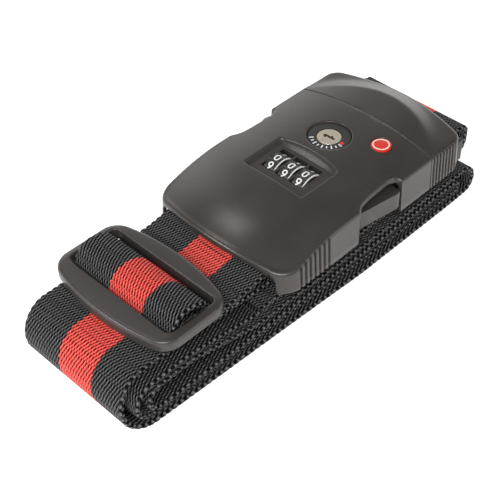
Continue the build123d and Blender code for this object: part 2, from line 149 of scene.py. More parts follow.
def loft(name, rings, sharp=30):
    """Closed mesh from a list of rings, capped at both ends."""
    n = len(rings[0])
    verts = np.concatenate(rings)
    faces = ring_faces(len(rings), n).tolist()
    faces.append(list(range(n))[::-1])
    faces.append(list(range(len(verts) - n, len(verts))))
    ob = add_mesh(name, verts, faces)
    fix_normals(ob)
    mark_sharp(ob, sharp)
    return ob


def looped(name, rings):
    """Closed mesh from a list of rings, the last joined back to the first."""
    n = len(rings[0])
    last = (len(rings) - 1) * n
    j = np.arange(n)
    after = (j + 1) % n
    closing = np.stack([last + j, last + after, after, j], 1)
    faces = np.concatenate([ring_faces(len(rings), n), closing])
    ob = add_mesh(name, np.concatenate(rings), faces)
    fix_normals(ob)
    return ob


def join(name, obs):
    """One piece from several closed meshes."""
    verts, faces, base = [], [], 0
    for ob in obs:
        mesh = ob.data
        co = np.zeros(len(mesh.vertices) * 3, np.float32)
        mesh.vertices.foreach_get("co", co)
        verts.append(co.reshape(-1, 3) / MM)
        faces += [tuple(i + base for i in face.vertices) for face in mesh.polygons]
        base += len(mesh.vertices)
        bpy.data.objects.remove(ob)
    joined = add_mesh(name, np.concatenate(verts), faces)
    mark_sharp(joined, 32)
    return joined


def bake(ob):
    """Applies the modifiers."""
    bpy.context.view_layer.update()
    graph = bpy.context.evaluated_depsgraph_get()
    mesh = bpy.data.meshes.new_from_object(ob.evaluated_get(graph))
    ob.modifiers.clear()
    ob.data = mesh


def cut(ob, cutters):
    for cutter in cutters:
        mod = ob.modifiers.new("cut", "BOOLEAN")
        mod.operation = "DIFFERENCE"
        mod.object = cutter
        mod.solver = "EXACT"
    bake(ob)
    for cutter in cutters:
        bpy.data.objects.remove(cutter)
    shade(ob.data)
    mark_sharp(ob, 30)


BOX_FACES = [(0, 1, 3, 2), (4, 6, 7, 5), (0, 4, 5, 1), (2, 3, 7, 6), (0, 2, 6, 4), (1, 5, 7, 3)]


def block(name, x0, x1, y0, y1, z0, z1, r=0.0):
    """Box with optional rounded edges."""
    verts = [(x, y, z) for x in (x0, x1) for y in (y0, y1) for z in (z0, z1)]
    ob = add_mesh(name, verts, BOX_FACES, smooth=False)
    fix_normals(ob)
    if r:
        mod = ob.modifiers.new("b", "BEVEL")
        mod.width = r * MM
        mod.segments = 3
        mod.limit_method = "NONE"
        bake(ob)
        shade(ob.data)
    return ob


def side_blocks(x0, x1, y_in, y_out, z0, z1):
    """A pair of blocks mirrored about the XZ plane."""
    return [block("side_block", x0, x1, *sorted((side * y_in, side * y_out)), z0, z1, 0.4)
            for side in (-1, 1)]


# ------------------------------------------------------------- plan outlines
def at(outline, z):
    """Lifts plan points to a height, or to a height each."""
    return np.column_stack([outline, np.broadcast_to(z, len(outline))])


def circle(cx, cy, r, n=96):
    a = np.linspace(0, 2 * math.pi, n, endpoint=False)
    return np.stack([cx + r * np.cos(a), cy + r * np.sin(a)], 1)


def revolved_rings(profile, cx, cy, n):
    """Horizontal circles for a profile of (radius, z)."""
    return [at(circle(cx, cy, r, n), z) for r, z in profile]


def post(name, x, y, z, length, r, bevel=0.0):
    """Upright cylinder standing on z."""
    profile = [(r, z), (r, z + length)]
    if bevel:
        profile = [(r - bevel, z), (r, z + bevel), (r, z + length - bevel), (r - bevel, z + length)]
    return loft(name, revolved_rings(profile, x, y, 32), sharp=40)


def bowed(length, width, end_r, corner_r, step, extra_x=()):
    """Anticlockwise outline and its outward normals: bowed ends, straight sides, round corners."""
    half_w = width / 2
    reach = math.sqrt((end_r - corner_r) ** 2 - (half_w - corner_r) ** 2)
    bow_end = math.atan2(half_w - corner_r, reach)
    bow_x = length / 2 - end_r
    corner_x = bow_x + reach
    points, normals = [], []
    for t in np.linspace(0, bow_end, max(4, int(end_r * bow_end / step)), endpoint=False):
        points.append((bow_x + end_r * math.cos(t), end_r * math.sin(t)))
        normals.append((math.cos(t), math.sin(t)))
    corner_n = max(10, int(corner_r * 1.3 / (step * 0.5)))
    for t in np.linspace(bow_end, math.pi / 2, corner_n, endpoint=False):
        points.append((corner_x + corner_r * math.cos(t), half_w - corner_r + corner_r * math.sin(t)))
        normals.append((math.cos(t), math.sin(t)))
    side = set(np.round(np.linspace(0, corner_x, max(2, int(corner_x / step)) + 1), 4))
    side |= {round(abs(x), 4) for x in extra_x if abs(x) < corner_x}
    side = sorted(side, reverse=True)
    kept = [side[0]]
    for x in side[1:]:
        if kept[-1] - x > 0.06:
            kept.append(x)
    if kept[-1] > 1e-6:
        kept.append(0.0)
    points += [(x, half_w) for x in kept]
    normals += [(0.0, 1.0)] * len(kept)

    def four_quarters(quarter):
        half = np.concatenate([quarter, quarter[:-1][::-1] * [-1, 1]])
        return np.concatenate([half, half[1:-1][::-1] * [1, -1]])

    return four_quarters(np.array(points)), four_quarters(np.array(normals))


def rounded_rect(x0, x1, y0, y1, r, corner_n=8, side_n=14):
    """Anticlockwise rounded rectangle with a fixed number of points."""
    points = []
    corners = ((x1 - r, y1 - r, 0), (x0 + r, y1 - r, 90), (x0 + r, y0 + r, 180), (x1 - r, y0 + r, 270))
    for cx, cy, start in corners:
        for t in np.radians(np.linspace(start, start + 90, corner_n)):
            points.append((cx + r * math.cos(t), cy + r * math.sin(t)))
    out = []
    for i, p in enumerate(points):
        p, q = np.array(p), np.array(points[(i + 1) % len(points)])
        k = side_n if i % corner_n == corner_n - 1 else 1
        out += [p + (q - p) * j / k for j in range(k)]
    return np.array(out)


def out_normals(outline):
    d = np.roll(outline, -1, 0) - np.roll(outline, 1, 0)
    d /= np.linalg.norm(d, axis=1)[:, None] + 1e-12
    return np.stack([d[:, 1], -d[:, 0]], 1)


def subdivide(line, step):
    """Points along an open line, without its last point."""
    line = np.asarray(line, float)
    out = []
    for p, q in zip(line[:-1], line[1:]):
        k = max(1, int(np.linalg.norm(q - p) / step))
        out += [p + (q - p) * j / k for j in range(k)]
    return out


def dense_poly(points, step):
    return np.array(subdivide(np.vstack([points, points[:1]]), step))


def round_poly(points, radii):
    """Rounds each corner of a polygon with five points."""
    out = []
    for i in range(len(points)):
        p = np.array(points[i], float)
        before = np.array(points[i - 1], float) - p
        after = np.array(points[(i + 1) % len(points)], float) - p
        len_b, len_a = np.linalg.norm(before), np.linalg.norm(after)
        r = min(radii[i], len_b * 0.45, len_a * 0.45)
        start, end = p + before / len_b * r, p + after / len_a * r
        for t in np.linspace(0, 1, 5):
            out.append((1 - t) ** 2 * start + 2 * t * (1 - t) * p + t * t * end)
    return out


# --------------------------------------------------------------- cover shape
LENGTH, WIDTH = 114.0, 67.5
HALF_W = WIDTH / 2
BASE_Z, EDGE_Z, CROWN_Z = 15.2, 29.3, 33.6
END_R, CORNER_R = 95.0, 7.5
NOSE_LENGTH, NOSE_CORNER_R = 111.0, 10.0  # outline of the -X end
RIM_R = 1.7
WALL = 2.1
DRAFT = 0.055  # lean of the side walls, per mm of height
FOOT = 0.35  # rounding of the bottom edge
SHOULDER_X, SHOULDER_BOW = 47.0, 0.016  # where the +X end begins to drop
FALL_X, FALL_BOW, FALL_R = -22, 0.006, 80.5  # where the -X end begins to fall, and its radius
SEAM_X, SEAM_R = 31.6, 900.0
# Upright grooves in the long sides: places along X and half width.
GROOVES = [(-42.3 + 2.45 * i, 0.62) for i in range(7)]
GROOVES += [(32.75 + 1.965 * i, 0.54) for i in range(8)]
GROOVE_DEPTH = 1.05


def end_x(y, side):
    """Distance of the bowed end from the middle, at y."""
    half = (LENGTH if side > 0 else NOSE_LENGTH) / 2
    return half - END_R + np.sqrt(END_R**2 - np.minimum(np.abs(y), HALF_W) ** 2)


def crown(x, y):
    """Height of the crowned top face."""
    x, off_y = np.asarray(x, float), np.minimum(np.abs(y), HALF_W)
    drop_y = (off_y / HALF_W) ** 2.5
    past = np.maximum(0, x - (SHOULDER_X - SHOULDER_BOW * off_y**2))
    drop_x = 0.8 * (1 - np.exp(-((past / 6.0) ** 1.7)))
    fall = np.clip(FALL_X - x + FALL_BOW * off_y**2, 0, 60)
    top = CROWN_Z - (CROWN_Z - EDGE_Z) * (1 - (1 - drop_y) * (1 - drop_x))
    return top - (FALL_R - np.sqrt(FALL_R**2 - fall**2))


def on_crown(outline, lift=0.0):
    return at(outline, crown(outline[:, 0], outline[:, 1]) + lift)


def groove_depth(outline, z, top):
    """Depth of the side grooves, fading out just above the height `top`."""
    depth = np.zeros(len(outline))
    for x, half in GROOVES:
        t = np.abs(outline[:, 0] - x) / half
        dent = GROOVE_DEPTH * np.cos(np.minimum(t, 1) * math.pi / 2) ** 0.8
        depth = np.maximum(depth, np.where(t < 1, dent, 0))
    fade = np.clip((top + 0.95 - z) / 0.8, 0, 1)
    return depth * fade * fade * (3 - 2 * fade) * (np.abs(outline[:, 1]) > 29)


def cover_outline():
    """Plan outline and normals, with the nose shape on the -X part."""
    extra = [x + d for x, _ in GROOVES for d in np.linspace(-0.85, 0.85, 11)]
    extra += [-x for x in extra]
    body = bowed(LENGTH, WIDTH, END_R, CORNER_R, 0.8, extra)
    nose = bowed(NOSE_LENGTH, WIDTH, END_R, NOSE_CORNER_R, 0.8, extra)
    body_part = np.nonzero(body[0][:, 0] < -1e-9)[0]
    nose_part = nose[0][:, 0] < -1e-9
    return [np.concatenate([b[: body_part[0]], n[nose_part], b[body_part[-1] + 1 :]])
            for b, n in zip(body, nose)]


OUTLINE, NORMALS = cover_outline()


def cover_blank(name):
    """Uncut hollow shell of both covers."""
    spine = np.stack([np.clip(OUTLINE[:, 0], -24, 24), np.zeros(len(OUTLINE))], 1)
    inner = OUTLINE - NORMALS * WALL
    rim_line = OUTLINE - NORMALS * (RIM_R + 0.6)
    rim_z = crown(rim_line[:, 0], rim_line[:, 1]) - RIM_R
    groove_top = rim_z + 0.45
    foot_z = BASE_Z + FOOT

    def wall(inset, z):
        inset = inset + groove_depth(OUTLINE, z, groove_top)
        return at(OUTLINE - NORMALS * inset[:, None], z)

    # inner surface, from the spine out to the rim and down
    rings = []
    inner_edge = inner - NORMALS * 0.8
    for share in (1.0, 0.75, 0.5, 0.3, 0.15, 0.05, 0.0):
        rings.append(on_crown(inner_edge + (spine - inner_edge) * share, -WALL))
    rings.append(on_crown(inner, -WALL - 1.0))
    rings.append(at(inner, BASE_Z))
    # bottom edge and side wall
    for inset, z in ((FOOT, BASE_Z), (0.1, BASE_Z + 0.1), (0.0, foot_z)):
        rings.append(wall(inset, z))
    for share in (0.2, 0.4, 0.6, 0.75, 0.86, 0.93, 0.97):
        z = foot_z + (rim_z - foot_z) * share
        rings.append(wall(DRAFT * (z - BASE_Z), z))
    # rim
    lean = DRAFT * (rim_z - BASE_Z)
    for a in np.radians((0, 12, 24, 36, 48, 60, 72, 84)):
        rings.append(wall(lean + RIM_R * (1 - math.cos(a)), rim_z + RIM_R * math.sin(a)))
    # top face, from the rim in to the spine
    top_edge = OUTLINE - NORMALS * (lean + RIM_R + 0.3)[:, None]
    span = np.concatenate([np.arange(0, 17, 0.8), np.arange(17, 33.7, 1.5)]) / HALF_W
    for share in [*span, 1.0]:
        rings.append(on_crown(top_edge + (spine - top_edge) * share))

    faces = ring_faces(len(rings), len(OUTLINE)).tolist()
    ob = add_mesh(name, np.concatenate(rings), faces)
    with editing(ob) as bm:
        bmesh.ops.remove_doubles(bm, verts=bm.verts, dist=2e-6)
        bmesh.ops.dissolve_degenerate(bm, dist=1e-6, edges=bm.edges)
        fill_holes(bm)
    return ob


# -------------------------------------------------------------- cover cutters
def top_cutter(name, outline, z0, r):
    """Opening through the crowned face with a rounded mouth."""
    normals = out_normals(outline)
    rings = [at(outline, z0)]
    for a in np.radians((0, 20, 40, 58, 74)):
        rings.append(on_crown(outline + normals * (r * (1 - math.cos(a))), -r * (1 - math.sin(a))))
    wide = outline + normals * (r * (1 - math.cos(math.radians(74))) + 1.0)
    rings.append(on_crown(wide, 0.27))
    rings.append(at(wide, CROWN_Z + 6.0))
    return loft(name, rings)


def seam_outline(gap, far_x):
    """Area on the far_x side of the bowed seam; gap widens the seam arc."""
    y = np.linspace(-40, 40, 121)
    x = SEAM_X - SEAM_R + np.sqrt((SEAM_R + gap) ** 2 - y**2)
    flare = np.clip((np.abs(y) - 33.2) / 0.55, 0, 1) * 0.35
    if far_x < 0:
        line = np.stack([x + flare, y], 1)
        return np.concatenate([line, [(far_x, 40), (far_x, -40)]])
    line = np.stack([x - flare, y], 1)[::-1]
    return np.concatenate([line, [(far_x, -40), (far_x, 40)]])


def mouth_cutter(name, side, depth_x, top_z, half_w, lip_r, corner_r):
    """Opening in the end face; side is the sign of X, depth_x its inner end."""
    base = rounded_rect(-half_w, half_w, 8.0, top_z, corner_r, 8, 24)  # (y, z)
    if side < 0:
        # the top of the mouth follows the falling nose
        y = np.clip(np.abs(base[:, 0]), 0, 33)
        limit = np.minimum(top_z, crown(-end_x(y, -1) + 1.5, y) - 2.3)
        base[:, 1] -= (top_z - limit) * np.clip((base[:, 1] - 17) / (top_z - 17), 0, 1)
    normals = out_normals(base)

    def ring(offset, inset):
        yz = base + normals * offset
        return np.column_stack([side * (end_x(yz[:, 0], side) - inset), yz])

    inner = ring(0, 0)
    inner[:, 0] = side * depth_x
    rings = [inner]
    lean = DRAFT * (top_z - BASE_Z)
    for a in np.radians((0, 25, 50, 72)):
        rings.append(ring(lip_r * (1 - math.cos(a)), lip_r * (1 - math.sin(a)) + lean))
    flare = lip_r * (1 - math.cos(math.radians(72))) + 0.9
    rings.append(ring(flare, lean - 0.3))
    rings.append(ring(flare, lean - 4.0))
    return loft(name, rings)


# Notch in the long sides: x, distance from the middle, corner radius.
NOTCH = [
    (-13.6, 36, 0.1), (-12.0, 33.9, 1.6), (-7.0, 30.6, 1.2), (-3, 30.0, 1.5), (9.5, 29.6, 1.2),
    (12.0, 30.3, 0.8), (13.0, 31.6, 0.8), (13.0, 33.3, 0.3), (13.5, 36, 0.1),
]


def notch_cutter(name, side):
    corners = round_poly([(x, side * y) for x, y, _ in NOTCH], [r for _, _, r in NOTCH])
    outline = dense_poly(corners, 0.7)
    if side < 0:
        outline = outline[::-1]  # the mirrored notch runs clockwise
    return top_cutter(name, outline, BASE_Z - 2, 1.25)


def window_cutter():
    """Sloping recess over the dials."""
    floor_z, lip_r = 31.75, 0.45
    bottom = rounded_rect(-21.3, -3.1, -14.1, 12.7, 0.9)
    top = rounded_rect(-21.9, -2.1, -14.5, 14.3, 1.1)
    # the +X edge of the mouth is bowed
    bow = np.clip((top[:, 0] + 10) / 7.9, 0, 1)
    top[:, 0] += bow * 2.5 * np.clip(1 - (top[:, 1] / 14.4) ** 2, 0, 1) ** 0.75
    normals = out_normals(top)
    rings = [at(bottom, floor_z)]
    for share in (0.06, 0.5, 0.9):
        line = bottom + (top - bottom) * share
        rise = crown(line[:, 0], line[:, 1]) - lip_r - floor_z
        rings.append(at(line, floor_z + rise * share))
    for a in np.radians((25, 50, 70)):
        line = top + normals * (lip_r * (1 - math.cos(a)))
        rings.append(on_crown(line, -lip_r * (1 - math.sin(a))))
    wide = top + normals * 1.0
    rings.append(on_crown(wide, 0.25))
    rings.append(at(wide, 40))
    return loft("window_cutter", rings)


dial_boxes = {n: mm_box("dial_wheel_%d" % n) for n in (1, 2, 3)}
DIAL_X = float(np.mean([(low[0] + high[0]) / 2 for low, high in dial_boxes.values()]))
DIAL_Z = float(np.mean([(low[2] + high[2]) / 2 for low, high in dial_boxes.values()]))
DIAL_R = float((dial_boxes[2][1][2] - dial_boxes[2][0][2]) / 2)
DIAL_PITCH = 7.0
lock_low, lock_high = mm_box("cylinder_housing")
LOCK_X, LOCK_Y = (lock_low[0] + lock_high[0]) / 2, (lock_low[1] + lock_high[1]) / 2
LOCK_R = (lock_high[0] - lock_low[0]) / 2
LOCK_TOP = lock_high[2]
badge_low, badge_high = mm_box("cover_badge")
BADGE_X, BADGE_Y = (badge_low[0] + badge_high[0]) / 2, (badge_low[1] + badge_high[1]) / 2


def dial_slots():
    """Three cutters that clear the dials."""
    return [block("dial_slot", DIAL_X - 6.25, DIAL_X + 6.25,
                  i * DIAL_PITCH - 2.95, i * DIAL_PITCH + 3.05, 27, 33.5) for i in (-1, 0, 1)]


def build_covers():
    female = cover_blank("female_top_cover_shell")
    male = bpy.data.objects.new("male_top_cover_shell", female.data.copy())
    scene.collection.objects.link(male)
    below = BASE_Z - 2
    cut(female, [
        top_cutter("seam_cutter", dense_poly(seam_outline(-0.1, 75), 1.0), below, 0.32),
        mouth_cutter("mouth_cutter", side=-1, depth_x=44.0, top_z=24.6, half_w=28.4,
                     lip_r=0.6, corner_r=3.0),
        notch_cutter("notch_cutter", 1),
        notch_cutter("notch_cutter", -1),
        window_cutter(),
        top_cutter("lock_cutter", circle(LOCK_X, LOCK_Y, LOCK_R + 0.08), 20, 0.45),
        top_cutter("badge_cutter", circle(BADGE_X, BADGE_Y, 4.15, 64), 31.55, 0.25),
        *dial_slots(),
    ])
    cut(male, [
        top_cutter("seam_cutter", dense_poly(seam_outline(0.1, -75), 1.0), below, 0.45),
        mouth_cutter("mouth_cutter", side=1, depth_x=50.6, top_z=25.0, half_w=27.4,
                     lip_r=0.7, corner_r=2.5),
    ])
    place(female, "female_half", "female_top_cover")
    place(male, "insert_half", "male_top_cover")
    return female, male


def female_bosses():
    """Posts, side blocks and the pad round the dials, under the female cover."""
    parts = [post("post", x, y, 17.4, length, 2.7)
             for x, half_y, length in ((-38, 22, 8.6), (26, 12.9, 13.6)) for y in (half_y, -half_y)]
    parts.append(post("post", -36, 0, 22.4, 7.0, 3.0))
    parts += side_blocks(-48.9, -44.0, 27.3, 29.6, 16.6, 22.2)
    pad = block("pad", -22.6, 0.0, -15.2, 15.2, 29.6, 31.6)
    cut(pad, dial_slots())
    return place(join("female_cover_bosses", parts + [pad]), "female_half")


def male_bosses():
    parts = [post("post", 41, side * 10.0, 17.4, 13.4, 2.5) for side in (-1, 1)]
    parts += side_blocks(47.6, 53.2, 27.3, 31.8, 16.2, 26.0)
    return place(join("male_cover_bosses", parts), "insert_half")


female_cover, male_cover = build_covers()
bosses = [female_bosses(), male_bosses()]

# -------------------------------------------------------------------- adjuster
adj_low, adj_high = mm_box("adjuster_frame")
ADJ_X, ADJ_Y = (adj_low[0] + adj_high[0]) / 2, (adj_low[1] + adj_high[1]) / 2
ADJ_LENGTH, ADJ_WIDTH = adj_high[0] - adj_low[0], adj_high[1] - adj_low[1]
ADJ_BASE, ADJ_TOP = 23.4, adj_high[2]
SLOT_X, SLOT_LENGTH, SLOT_WIDTH = -85.95, 21.6, 51.2


def same_rays(outer, inner, centre, n=560):
    """Both outlines resampled on the same rays from the centre."""
    inner_angle = np.unwrap(np.arctan2(inner[:, 1] - centre[1], inner[:, 0] - centre[0]))
    rays = np.interp(np.linspace(0, len(inner), n, endpoint=False), np.arange(len(inner) + 1),
                     np.append(inner_angle, inner_angle[0] + 2 * math.pi))
    result = []
    for line in (outer, inner):
        a = np.unwrap(np.arctan2(line[:, 1] - centre[1], line[:, 0] - centre[0]))
        a = np.concatenate([a - 2 * math.pi, a, a + 2 * math.pi])
        result.append(np.stack([np.interp(rays, a, np.tile(line[:, k], 3)) for k in (0, 1)], 1))
    return result


def build_adjuster():
    edge_r, slot_r, dome = 1.5, 0.6, 0.25
    outer = bowed(ADJ_LENGTH, ADJ_WIDTH, 90.0, 8.0, 0.5)[0] + [ADJ_X, ADJ_Y]
    inner = rounded_rect(SLOT_X - SLOT_LENGTH / 2, SLOT_X + SLOT_LENGTH / 2,
                         ADJ_Y - SLOT_WIDTH / 2, ADJ_Y + SLOT_WIDTH / 2, 2.5, 10, 60)
    outer, inner = same_rays(outer, inner, (SLOT_X, ADJ_Y))
    out_n, in_n = out_normals(outer), out_normals(inner)
    # outer wall and its rounded top edge
    rings = [at(outer - out_n * inset, ADJ_BASE + rise)
             for inset, rise in ((0.9, 0), (0.35, 0.12), (0.0, 0.6))]
    rings.append(at(outer, ADJ_TOP - 2.2))
    for a in np.radians((15, 30, 45, 60, 75, 90)):
        rings.append(at(outer - out_n * edge_r * (1 - math.cos(a)),
                        ADJ_TOP - dome - edge_r + edge_r * math.sin(a)))
    # slightly domed top
    top_out, top_in = outer - out_n * edge_r, inner + in_n * slot_r
    for share in (0.12, 0.3, 0.5, 0.7, 0.88, 1.0):
        rings.append(at(top_out + (top_in - top_out) * share, ADJ_TOP - dome * (1 - share) ** 2))
    # rounded edge and wall of the slot
    for a in np.radians((25, 50, 72, 90)):
        rings.append(at(inner + in_n * slot_r * (1 - math.sin(a)),
                        ADJ_TOP - slot_r + slot_r * math.cos(a)))
    rings.append(at(inner, ADJ_BASE + 0.5))
    rings.append(at(inner + in_n * 0.4, ADJ_BASE))
    ring = looped("adjuster_ring", rings)
    half_bar = SLOT_WIDTH / 2 + 1
    bar = block("adjuster_bar", -89.0, -83.0, ADJ_Y - half_bar, ADJ_Y + half_bar, 22.85, 24.55, 0.5)
    return place(join("adjuster_three_bar_frame", [ring, bar]),
                 "adjuster", "adjuster_frame")


adjuster = build_adjuster()

# --------------------------------------------------------------------- webbing
WEB_WIDTH, WEB_THICK = 50.0, 1.8
PITCH, FLOAT = 1.27, 2.55  # weave repeat across and along the band
SKEW, WOBBLE, WOBBLE_RATE = 0.32, 0.08, 2.1  # slant of the yarns, and their sideways wander
STRIPE = (-10.16, 6.35)  # red stripe, across the band
FINE_STEP, COARSE_STEP = 0.34, 0.6
step_scale = 1.0


def oval(cx, cy, rx, ry, a0, a1, n=14):
    angles = [math.radians(a0 + (a1 - a0) * i / n) for i in range(n + 1)]
    return [(cx + rx * math.cos(a), cy + ry * math.sin(a)) for a in angles]


def bend(cx, cz, r, a0, a1, y, n=12, y1=None):
    """Arc of a band path, as (x, z, y), drifting from y to y1."""
    y1 = y if y1 is None else y1
    return [(x, z, y + (y1 - y) * i / n) for i, (x, z) in enumerate(oval(cx, cz, r, r, a0, a1, n))]


def path_lengths(line):
    steps = np.linalg.norm(np.diff(line[:, :2], axis=0), axis=1)
    return np.concatenate([[0], np.cumsum(steps)])


def smooth_path(path, sigma, step=0.2):
    """Evenly sampled path blurred over sigma, and its lengths."""
    kept = [np.array(path[0], float)]
    for q in path[1:]:
        if np.linalg.norm(np.array(q[:2]) - kept[-1][:2]) > 0.05:
            kept.append(np.array(q, float))
    kept = np.array(kept)
    lengths = path_lengths(kept)
    even = np.linspace(0, lengths[-1], int(lengths[-1] / step) + 1)
    line = np.stack([np.interp(even, lengths, kept[:, k]) for k in range(3)], 1)
    m = int(4 * sigma / step)
    kernel = np.exp(-0.5 * (np.arange(-m, m + 1) * step / sigma) ** 2)
    kernel /= kernel.sum()
    # mirror the ends so that they stay in place
    before = 2 * line[0] - line[m:0:-1]
    after = 2 * line[-1] - line[-2 : -m - 2 : -1]
    line = np.concatenate([before, line, after])
    line = np.stack([np.convolve(line[:, k], kernel, "valid") for k in range(3)], 1)
    return line, path_lengths(line)


def dash(du, dv, half, thick):
    """Soft sunken gap between yarns; the lift ramp later paints it dark as shade."""
    return np.exp(-np.abs(du / half) ** 4) * np.exp(-((dv / thick) ** 2))


def weave(s, t, flip):
    """Height 0..1 of the weave at length s and width t, and the yarn row."""
    u = s / FLOAT + 0.5 * flip
    k = np.round(u)
    du = u - k
    v = t / PITCH - SKEW * du + WOBBLE * np.sin(WOBBLE_RATE * k)
    j = np.round(v)
    gap = dash(du, v - j, 0.3, 0.2) * (1 - 0.2 * np.mod(j + k, 2))
    # second set of yarns, half a repeat further on
    du2 = u - (np.floor(u) + 0.5)
    v2 = t / PITCH + 0.5 - SKEW * du2
    gap2 = dash(du2, v2 - np.round(v2), 0.21, 0.18)
    along = 0.5 + 0.5 * np.cos(2 * math.pi * u)
    yarn = (0.5 - 0.5 * np.cos(2 * math.pi * v)) * along**0.8
    yarn2 = (0.5 - 0.5 * np.cos(2 * math.pi * v2)) * (1 - along) ** 0.8
    height = 0.5 + 0.5 * yarn + 0.36 * yarn2 - 0.72 * gap - 0.5 * gap2
    return np.clip(height, 0, 1), np.floor(v)


EDGE_N = 7  # columns round each edge of a band
TOP, EDGE_PLUS, UNDER, EDGE_MINUS = range(4)


def band(name, path, step_at, width=WEB_WIDTH, thick=WEB_THICK, relief=0.66, sigma=1.0):
    """Woven band along a path of (x, z, y); step_at(x, z) gives the row spacing."""
    line, lengths = smooth_path(path, sigma)

    def along_path(s):
        return np.stack([np.interp(s, lengths, line[:, k]) for k in range(3)], -1)

    rows = [0.0]
    while rows[-1] < lengths[-1] - 1e-6:
        x, z, _ = along_path(rows[-1])
        rows.append(min(lengths[-1], rows[-1] + step_at(x, z) * step_scale))
    rows = np.array(rows)
    centre = along_path(rows)
    tangent = (along_path(rows + 0.3) - along_path(rows - 0.3))[:, :2]
    tangent /= np.linalg.norm(tangent, axis=1)[:, None]
    normal = np.stack([-tangent[:, 1], tangent[:, 0]], 1)

    # columns round the section: place, direction of the relief and distance round the edge
    half = thick / 2
    flat = width / 2 - half
    flat_n = int(round((width - 2 * half) / PITCH * 5.0))
    top = np.linspace(-flat, flat, flat_n)
    none, ones = np.zeros(flat_n), np.ones(flat_n)
    turn = np.radians([72, 48, 24, 0, -24, -48, -72])
    back = turn[::-1]
    place_y = np.concatenate([top, flat + half * np.cos(turn), top[::-1], -flat - half * np.cos(back)])
    dir_y = np.concatenate([none, np.cos(turn), none, -np.cos(back)])
    dir_n = np.concatenate([ones, np.sin(turn), -ones, np.sin(back)])
    place_n = half * dir_n
    wrap = np.concatenate([top, flat + half * np.radians(90 - turn),
                           top[::-1], -flat - half * np.radians(90 - back)])
    kind = np.repeat([TOP, EDGE_PLUS, UNDER, EDGE_MINUS], [flat_n, EDGE_N, flat_n, EDGE_N])

    s = rows[:, None]
    lift = np.zeros((len(rows), len(kind)))
    stripe = np.zeros_like(lift)
    low_half = (kind == UNDER) | ((kind != TOP) & (place_n < 0))
    along = np.broadcast_to(s / FLOAT, lift.shape) + 0.5 * low_half[None, :]
    across = np.broadcast_to(wrap[None, :] / PITCH, lift.shape)
    for face, flip in ((TOP, 0), (UNDER, 1)):
        cols = kind == face
        lift[:, cols], row = weave(s, place_y[cols][None, :], flip)
        yarn_y = (row + 0.5) * PITCH
        stripe[:, cols] = (yarn_y > STRIPE[0]) & (yarn_y < STRIPE[1])
    for edge in (EDGE_PLUS, EDGE_MINUS):
        cols = kind == edge
        side = (place_n[cols] / half)[None, :]
        phase = s / FLOAT + np.where(side > 0, 0.0, 0.5) + 0.35 * side
        u = phase - np.floor(phase) - 0.5
        bead = np.clip(1 - np.abs(2 * u) ** 3.0, 0, 1) ** 0.8
        cords = np.clip(np.abs(side) / 0.45, 0, 1) ** 1.2
        lift[:, cols] = 0.25 + bead * (0.15 + 0.6 * cords)
    raised = relief * (lift - 0.8)
    off = place_n[None, :] + raised * dir_n[None, :]
    x = centre[:, 0][:, None] + off * normal[:, 0][:, None]
    z = centre[:, 1][:, None] + off * normal[:, 1][:, None]
    y = centre[:, 2][:, None] + place_y[None, :] + raised * dir_y[None, :]
    verts = np.stack([x, y, z], -1).reshape(-1, 3)

    # each end gets strips between top and underside; the rounded edges are filled after
    over = np.arange(flat_n)
    under = flat_n + EDGE_N + over[::-1]
    cap = np.stack([over[:-1], over[1:], under[1:], under[:-1]], 1)
    last = (len(rows) - 1) * len(kind)
    faces = np.concatenate([ring_faces(len(rows), len(kind)), cap[:, ::-1], cap + last])
    ob = add_mesh(name, verts, faces)
    with editing(ob) as bm:
        fill_holes(bm)
    values = {"lift": lift, "stripe": stripe, "along": along, "across": across}
    for label, value in values.items():
        attribute = ob.data.attributes.new(label, "FLOAT", "POINT")
        attribute.data.foreach_set("value", value.astype(np.float32).ravel())
    shade(ob.data)
    return ob


# Paths are stations of (x, z, y).
coil_path = (
    [(-79.0, 18.45, 0), (-66.0, 18.2, 0), (-57.0, 16.9, 0)]
    + bend(-47.6, 19.5, 2.9, -90, 90, 0)
    + [(-53.5, 21.4, 0), (-60.5, 20.3, 0), (-62.5, 20.2, 0)]
    + bend(-111.0, 10.5, 9.7, 90, 270, 0, 18, -5.8)
    + [(-60.0, 0.8, -8.0), (-38.0, 0.8, -9.0), (-10.0, 0.8, -10.4), (44.0, 0.8, -10.8)]
    + bend(55.5, 5.4, 4.6, -90, 90, -10.6, 14, -9.0)
    + [(-45.0, 8.6, -6), (-60.0, 8.6, -6), (-90.0, 14.8, -5)]
    + bend(-105.5, 9.6, 5.2, 90, 270, -5, 14)
    + [(-60.0, 4.5, -6)]
    + bend(50.0, 4.35, 1.65, 90, -90, -8.5, 8, -9.5)
    + [(-60.0, 2.65, -6)]
    + bend(-108.5, 9.6, 7.0, 270, 90, -4.5, 16, -4)
    + [(-90.0, 16.6, -4), (-60.0, 11.2, -4)]
)
feed_path = [(-60.0, 11.2, -4), (45.2, 12.0, 0)]
male_path = (
    [(45.2, 12.0, 0)]
    + bend(60.0, 16.4, 4.4, -90, 0, -1.2, 8)
    + bend(61.2, 20.2, 3.2, 0, 90, -1.2, 8)
    + bend(50.6, 20.5, 2.9, 90, 270, 0)
    + bend(57.2, 15.7, 1.8, 90, -90, -1, 10)
    + [(20.0, 13.9, -5), (-59.0, 13.9, -5)]
)
